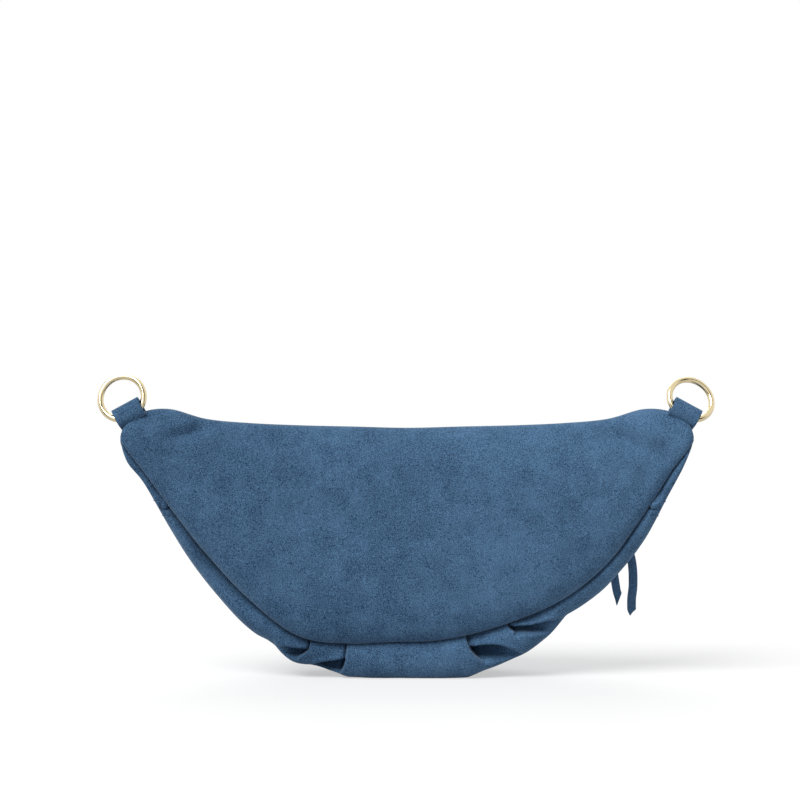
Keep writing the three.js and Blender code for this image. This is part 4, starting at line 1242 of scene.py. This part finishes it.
def strip(line, faces_way, width, thickness, closed=False, slant=0.0, tip=1.0):
    """Points and faces of a flat lace along a line. faces_way is the direction its flat side faces.
    Its end is cut on the slant, in mm from edge to edge, or to a tip with a share of its width."""
    line = np.asarray(line, float)
    way = np.gradient(line, axis=0)
    if closed:
        way = np.roll(line, -1, 0) - np.roll(line, 1, 0)
    way /= np.linalg.norm(way, axis=1, keepdims=True)
    flat = np.broadcast_to(np.asarray(faces_way, float), line.shape).copy()
    flat -= way * (flat * way).sum(1, keepdims=True)
    flat /= np.linalg.norm(flat, axis=1, keepdims=True)
    across = np.cross(way, flat)
    outline = rounded_outline(width, thickness)
    shares = np.ones(len(line))
    shares[-3:] = lerp(1, tip, np.array([0.25, 0.6, 1]))
    points = (line[:, None] + across[:, None] * outline[None, :, :1] * shares[:, None, None]
              + flat[:, None] * outline[None, :, 1:])
    run = np.concatenate([[0], np.cumsum(np.linalg.norm(np.diff(line, axis=0), axis=1))])
    share = np.clip(1 - (run[-1] - run) / max(1.3 * abs(slant), 1), 0, 1)[:, None, None]
    points = points + way[:, None] * share * (outline[None, :, :1] / width * slant)
    size = points.shape[:2]
    faces = grid_faces(*size, tube=True, ring=True) if closed else tube_faces(*size)
    return points.reshape(-1, 3), faces


def joined(name, parts, material, matrix=None):
    """One piece from several closed parts, with all their faces outwards."""
    points, faces = [], []
    count = 0
    for part_points, part_faces in parts:
        points.extend(part_points)
        faces.extend(tuple(count + v for v in face) for face in part_faces)
        count += len(part_points)
    if matrix is not None:
        points = [matrix @ Vector(p) for p in points]
    made = mesh_object(name, points, faces, material)
    shape = bmesh.new()
    shape.from_mesh(made.data)
    bmesh.ops.recalc_face_normals(shape, faces=shape.faces)
    shape.to_mesh(made.data)
    shape.free()
    return report(made)


print("the lace's outline has", len(rounded_outline(6, 1.5)), "points")


# %% Make the thong
LACE_WIDTH = 6.0
LACE = 1.5  # thickness
PLATE = 1.0  # thickness of the slider's upper plate
BAIL = 1.4
BAIL_ROOM = 0.6
PLATE_FACE = TOOTH_HALF + GAP - TAPE_MIDDLE + PLATE
PLY_LOW = PLATE_FACE + GAP + LACE / 2
PLY_HIGH = PLATE_FACE + GAP + LACE + BAIL_ROOM + BAIL + LACE / 2
BAR = (PLY_LOW + PLY_HIGH) / 2
KNOT = -9.5
# Both hanging ends: (across, out from the ply, up)
SHORT_END = ((-0.6, 1.2, KNOT + 1), (-2.2, 1.6, -22), (-4.4, 1.2, -40), (-3.6, 1.3, -56), (-2.2, 2, -65))
LONG_END = ((0.8, -0.4, KNOT + 1), (4.6, -0.8, -22), (8.6, -1.4, -39), (8.4, -1.2, -54),
            (6.4, -0.6, -65), (5.6, 0, -75))
# The strand that crosses the knot: (across, out from the bar, up from the knot)
CROSSING = ((-2.2, 1.2, 5), (-2.4, 3.6, 2.4), (0, 4.4, 0), (2.2, 3.4, -2.6), (2.4, 1.2, -5))


def loop_and_knot():
    """The lace over the bail, the wrap below it and the strand across the wrap."""
    arc = [(0, BAR - (BAR - PLY_LOW) * math.cos(a), (BAR - PLY_LOW) * math.sin(a))
           for a in np.linspace(0, math.pi, 13)]
    loop = np.array([(0, PLY_LOW, KNOT), (0, PLY_LOW, -4), *arc, (0, PLY_HIGH, -4),
                     (0, PLY_HIGH - 0.5, KNOT)])
    ways = loop - np.array([0, BAR, -2.0])
    ways[:, 0] = 0
    wrap = np.array([(3.9 * math.cos(a), BAR + 0.2 + 2.7 * math.sin(a), KNOT + 1.2 * math.cos(a))
                     for a in np.linspace(0, 2 * math.pi, 40, endpoint=False)])
    cross = curve_through(np.array(CROSSING) + np.array([0, BAR, KNOT]), 17)
    return [
        strip(loop, ways, LACE_WIDTH, LACE),
        strip(wrap, wrap - np.array([0, BAR, KNOT]), 5.4, LACE, closed=True),
        strip(cross, cross - np.array([0, BAR - 2, KNOT]), 4.6, 1.4),
    ]


def make_thong():
    """The lace in the slider's own frame, moved to where the slider stands."""
    short = curve_through(np.array(SHORT_END) + np.array([0, PLY_LOW, 0]), 41)
    long = curve_through(np.array(LONG_END) + np.array([0, PLY_HIGH, 0]), 49)
    parts = [
        *loop_and_knot(),
        strip(short, (0.12, 1, 0), LACE_WIDTH, LACE, slant=-8.5),
        strip(long, (-0.1, 1, 0), LACE_WIDTH, LACE, slant=-3, tip=0.35),
    ]
    return joined("zip_thong_lace", parts, LACE_SUEDE, zip_matrix(SLIDER_TURN))


thong = make_thong()

# %% [markdown]
# ## Tabs and strap rings
#
# Each tab is one strip of suede folded round its ring and sewn into the corner of the bag. Its
# section is drawn once and carried across. The ring is a plain round wire ring, so a torus is its
# true shape, and a grid bent both ways makes one with as many faces as its gloss needs. Both stand
# in the tab's own frame: X across the tab, Y through it and Z outwards along it.

# %% Make the tabs and the rings
TAB_WIDTH = 19.0
TAB_ANGLE = 0.497
TAB_SIDE_INSET = 8.4
TAB_TOP_INSET = 8.9
SEWN_IN = 9.5  # length of tab inside the corner
PLY_MIDDLE = 1.35
EYE_RADIUS = 4.4
EYE_LENGTH = 6.4
RING_RADIUS = 14.5
WIRE_RADIUS = 2.0
RING_RISE = 2.1
RING_TILTS = {"left": 0.35, "right": 0.56}


def tab_matrix(side):
    """The tab's own frame."""
    sign = -1 if side == "left" else 1
    root_x, root_z = HALF_WIDTH - TAB_SIDE_INSET, HEIGHT - TAB_TOP_INSET
    root_y = float(corners(x_station(root_x))[1][0])
    along = Vector((sign * math.sin(TAB_ANGLE), 0, math.cos(TAB_ANGLE)))
    through = Vector((0, 1, 0))
    made = Matrix((through.cross(along), through, along)).transposed().to_4x4()
    made.translation = Vector((sign * root_x, root_y, root_z))
    return made


def make_tab(side):
    """Two plies side by side, an eye round the ring's wire, and a longer outer end."""
    radius, length = EYE_RADIUS + SUEDE, EYE_LENGTH + SUEDE
    start = math.asin(PLY_MIDDLE / radius)
    half = [(PLY_MIDDLE, z) for z in np.linspace(-SEWN_IN, 0, 10)]
    half += [(radius * math.sin(a), radius - radius * math.cos(a))
             for a in np.linspace(start, math.pi / 2, 12)]
    half += [(radius * math.cos(a), radius + length * math.sin(a))
             for a in np.linspace(0, math.pi / 2, 16)[1:]]
    path = half + [(-y, z) for y, z in half[-2::-1]]
    across = np.linspace(-TAB_WIDTH / 2, TAB_WIDTH / 2, 25)
    grid = np.array([[(x, y, z) for y, z in path] for x in across])
    matrix = tab_matrix(side)
    points = [matrix @ Vector(p) for p in grid.reshape(-1, 3)]
    made = mesh_object("tab_" + side + "_suede", points, grid_faces(*grid.shape[:2]), TAB_SUEDE)
    return report(thicken(made))


def make_ring(side):
    """A wire ring that hangs in its tab's eye and leans back a little."""
    around, about = 112, 28
    points = []
    for a in np.linspace(0, 2 * math.pi, around, endpoint=False):
        for b in np.linspace(0, 2 * math.pi, about, endpoint=False):
            r = RING_RADIUS + WIRE_RADIUS * math.cos(b)
            points.append((r * math.cos(a), WIRE_RADIUS * math.sin(b), r * math.sin(a)))
    faces = grid_faces(around, about, tube=True, ring=True)
    hinge = tab_matrix(side) @ Matrix.Translation((0, 0, EYE_RADIUS + SUEDE))
    lean = Matrix.Rotation(-RING_TILTS[side], 4, "X")
    place = hinge @ lean @ Matrix.Translation((0, 0, RING_RADIUS - RING_RISE))
    return joined("ring_" + side + "_wire", [(points, faces)], PALE_GOLD, place)


tabs = {side: make_tab(side) for side in ("left", "right")}
rings = {side: make_ring(side) for side in ("left", "right")}

# %% [markdown]
# ## Topstitching
#
# The folded hems beside the zip are held by a row of stitches. They sit on the finished sheets,
# so they come after them, and they use the same node tree as the teeth. A bump in the material
# could draw them too, but it would be lost where the part is used for its shape.

# %% Make the stitches
STITCH_LENGTH = 2.5
STITCH_SPACING = 3.5
THREAD_RADIUS = 0.33
STITCH_STAND = 0.15


def stitch_piece():
    """A short bow of thread, whose ends dip into the leather."""
    sides = 8
    profile = ((-0.5, 0.25), (-0.42, 0.8), (-0.15, 1), (0.15, 1), (0.42, 0.8), (0.5, 0.25))
    points = []
    for x, share in profile:
        radius = share * THREAD_RADIUS
        for a in np.linspace(0, 2 * math.pi, sides, endpoint=False):
            points.append((x * STITCH_LENGTH, radius * math.cos(a),
                           radius * math.sin(a) - 6 * THREAD_RADIUS * x * x))
    return joined("stitch", [(points, tube_faces(len(profile), sides))], None)


def hem_lines(sign):
    """The lines of stitches of one hem, along the zip and across the bands beside the back seam."""
    def points(station, place):
        near = np.stack([place - 0.01, place, place + 0.01], 1)
        grid, ways = front_surface(station[:, None], near)
        return grid[:, 1] + ways[:, 1] * STITCH_STAND, ways[:, 1]

    front_station = np.linspace(-0.85, 0.85, 900)
    height = ZIP_HEIGHT + sign * (slot_half(station_x(front_station)) + HEM)
    kept = underside(front_station) < height - 1.5
    stretches = [points(front_station[kept], place_at(front_station[kept], height[kept]))]
    height = ZIP_HEIGHT + sign * (SLIT_HALF + HEM)
    for side in (-1, 1):
        station = side * np.linspace(0.6, 0.85, 300)
        kept = (underside(station) < height - 1.5) & (corners(station)[2][1] > height + 2)
        station = station[kept][::side]
        stretches.append(points(station, band_place_at(station, np.full_like(station, height))))
    return stretches


stitch = stitch_piece()
stitches = []
for name, sign in (("front_upper_stitches", 1), ("front_lower_stitches", -1)):
    lines, lifts = zip(*hem_lines(sign))
    stitches.append(report(repeat_along(name, lines, lifts, stitch, STITCH_SPACING, THREAD)))
bpy.data.objects.remove(stitch)

# %% [markdown]
# ## Join the finished pieces to the moving bodies
#
# Each piece now takes the place of its plain solid, and moves with the body the solid moved with.

# %% Hand the pieces over
def hand_over(piece, body, plain=None, material=None):
    """Says which body a piece moves with, whose finish it has and which plain solid it stands for."""
    if material:
        piece.data.materials.clear()
        piece.data.materials.append(material)
    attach(piece, body)
    if plain:
        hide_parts(plain)


for piece, plain in ((back_suede, "back_panel"), (front_upper, "front_upper_panel"),
                     (front_lower, "front_lower_panel")):
    hand_over(piece, "bag", plain, BLUE_SUEDE)

for (piece, flat, area), plain in ((back_lining, "back_lining"), (upper_lining, "front_upper_lining"),
                                   (lower_lining, "front_lower_lining")):
    hand_over(piece, "bag", plain, LINING_TWILL)

for tape_piece, teeth_piece, plain in ((upper_tape, upper_teeth, "zip_side_upper"),
                                       (lower_tape, lower_teeth, "zip_side_lower")):
    hand_over(tape_piece, "bag", plain)
    hand_over(teeth_piece, "bag")

for piece in stitches:
    hand_over(piece, "bag")

for side in ("left", "right"):
    hand_over(tabs[side], "bag", "tab_" + side)
    hand_over(rings[side], side + "_ring", "ring_" + side)

hand_over(thong, "pull", "zip_thong")

# %% [markdown]
# ## Floor, light and camera
#
# The photograph is a bright studio shot on white: a broad soft light from the upper left, a white
# floor that keeps only a faint shadow, and a long lens at the height of the bag. The floor shows
# the camera almost plain white and lights the bag as a pale floor does. Polished metal shows what
# stands round it, so its rays see a white room with a dark gap in it, which gives the rings and
# the teeth their dark lines. Real soft boxes could stand there, but they would light the suede too.

# %% Floor and world
FLOOR_HALF = 3000.0


def make_floor():
    """White paper. The camera sees it near white, and other rays see a pale grey."""
    corner_signs = ((-1, -1), (1, -1), (1, 1), (-1, 1))
    made = mesh_object("floor", [(x * FLOOR_HALF, y * FLOOR_HALF, 0) for x, y in corner_signs],
                       [(0, 1, 2, 3)])
    material, tree = new_material("white_paper")
    paper = node(tree, "ShaderNodeBsdfDiffuse", {"Color": (0.6, 0.6, 0.6, 1)})
    white = node(tree, "ShaderNodeEmission", {"Strength": 0.5})
    faint = node(tree, "ShaderNodeBsdfDiffuse", {"Color": (0.45, 0.45, 0.45, 1)})
    seen = node(tree, "ShaderNodeAddShader", {0: white.outputs[0], 1: faint.outputs[0]})
    ray = node(tree, "ShaderNodeLightPath")
    mixed = node(tree, "ShaderNodeMixShader", {
        "Fac": ray.outputs["Is Camera Ray"], 1: paper.outputs[0], 2: seen.outputs[0]})
    node(tree, "ShaderNodeOutputMaterial", {"Surface": mixed.outputs[0]})
    made.data.materials.append(material)
    return made


ROOM_GREYS = ((0.0, 0.9), (0.1, 1.0), (0.13, 0.03), (0.22, 0.03), (0.27, 1.0))


def make_world():
    """Soft even light, white for the camera, and a room with a dark gap for polished metal."""
    world = bpy.data.worlds.new("studio")
    world.use_nodes = True
    bpy.context.scene.world = world
    tree = world.node_tree
    tree.nodes.clear()
    ray = node(tree, "ShaderNodeLightPath")
    soft = node(tree, "ShaderNodeBackground", {"Color": (1, 1, 1, 1), "Strength": 0.35})
    white = node(tree, "ShaderNodeBackground", {"Color": (1, 1, 1, 1), "Strength": 1.0})
    way = node(tree, "ShaderNodeTexCoord")
    parts = node(tree, "ShaderNodeSeparateXYZ", {0: way.outputs["Generated"]})
    depth = node(tree, "ShaderNodeMapRange", {
        "Value": parts.outputs["Y"], "From Min": -1.0, "From Max": 1.0})
    gap = node(tree, "ShaderNodeValToRGB", {"Fac": depth.outputs[0]})
    stops = gap.color_ramp.elements
    for place, grey in ROOM_GREYS:
        stop = stops.new(place) if place else stops[0]
        stop.color = (grey, grey * 0.98, grey * 0.94, 1)
    room = node(tree, "ShaderNodeBackground", {"Color": gap.outputs[0], "Strength": 1.0})
    shiny = node(tree, "ShaderNodeMixShader", {
        "Fac": ray.outputs["Is Glossy Ray"], 1: soft.outputs[0], 2: room.outputs[0]})
    open_ray = node(tree, "ShaderNodeMath", {
        0: ray.outputs["Is Camera Ray"], 1: ray.outputs["Is Transmission Ray"]}, operation="MAXIMUM")
    seen = node(tree, "ShaderNodeMixShader", {
        "Fac": open_ray.outputs[0], 1: shiny.outputs[0], 2: white.outputs[0]})
    node(tree, "ShaderNodeOutputWorld", {"Surface": seen.outputs[0]})


def make_light(name, direction, strength, softness):
    """A sun as wide as a soft box looks from the bag. It lights the whole floor alike."""
    lamp = bpy.data.lights.new(name, "SUN")
    lamp.energy = strength
    lamp.angle = math.radians(softness)
    made = bpy.data.objects.new(name, lamp)
    made.rotation_euler = Vector(direction).to_track_quat("Z", "Y").to_euler()
    bpy.context.scene.collection.objects.link(made)
    print(name, "has a strength of", strength, "and is", softness, "degrees wide")


make_floor()
make_world()
make_light("key", (-0.62, -0.78, 1.1), 2.7, 35)
make_light("back_light", (-0.2, 1.0, 0.9), 1.0, 50)

# %% Camera
FIELD = 0.52  # metres that the picture is wide at the bag
DISTANCE = 1.6
ELEVATION = math.radians(1.5)
camera_data = bpy.data.cameras.new("camera")
camera_data.sensor_width = 36
camera_data.lens = 36 * DISTANCE / FIELD
camera_data.clip_end = 20
camera = bpy.data.objects.new("camera", camera_data)
aim = Vector((-0.00455, -0.012, 0.182))  # the middle of the picture, above the bag's own middle
camera.location = aim + DISTANCE * Vector((0, -math.cos(ELEVATION), math.sin(ELEVATION)))
camera.rotation_euler = (aim - camera.location).to_track_quat("-Z", "Y").to_euler()
bpy.context.scene.collection.objects.link(camera)
bpy.context.scene.camera = camera
bpy.context.scene.view_settings.view_transform = "Standard"
print("the camera's lens is", round(camera_data.lens, 1), "mm long")
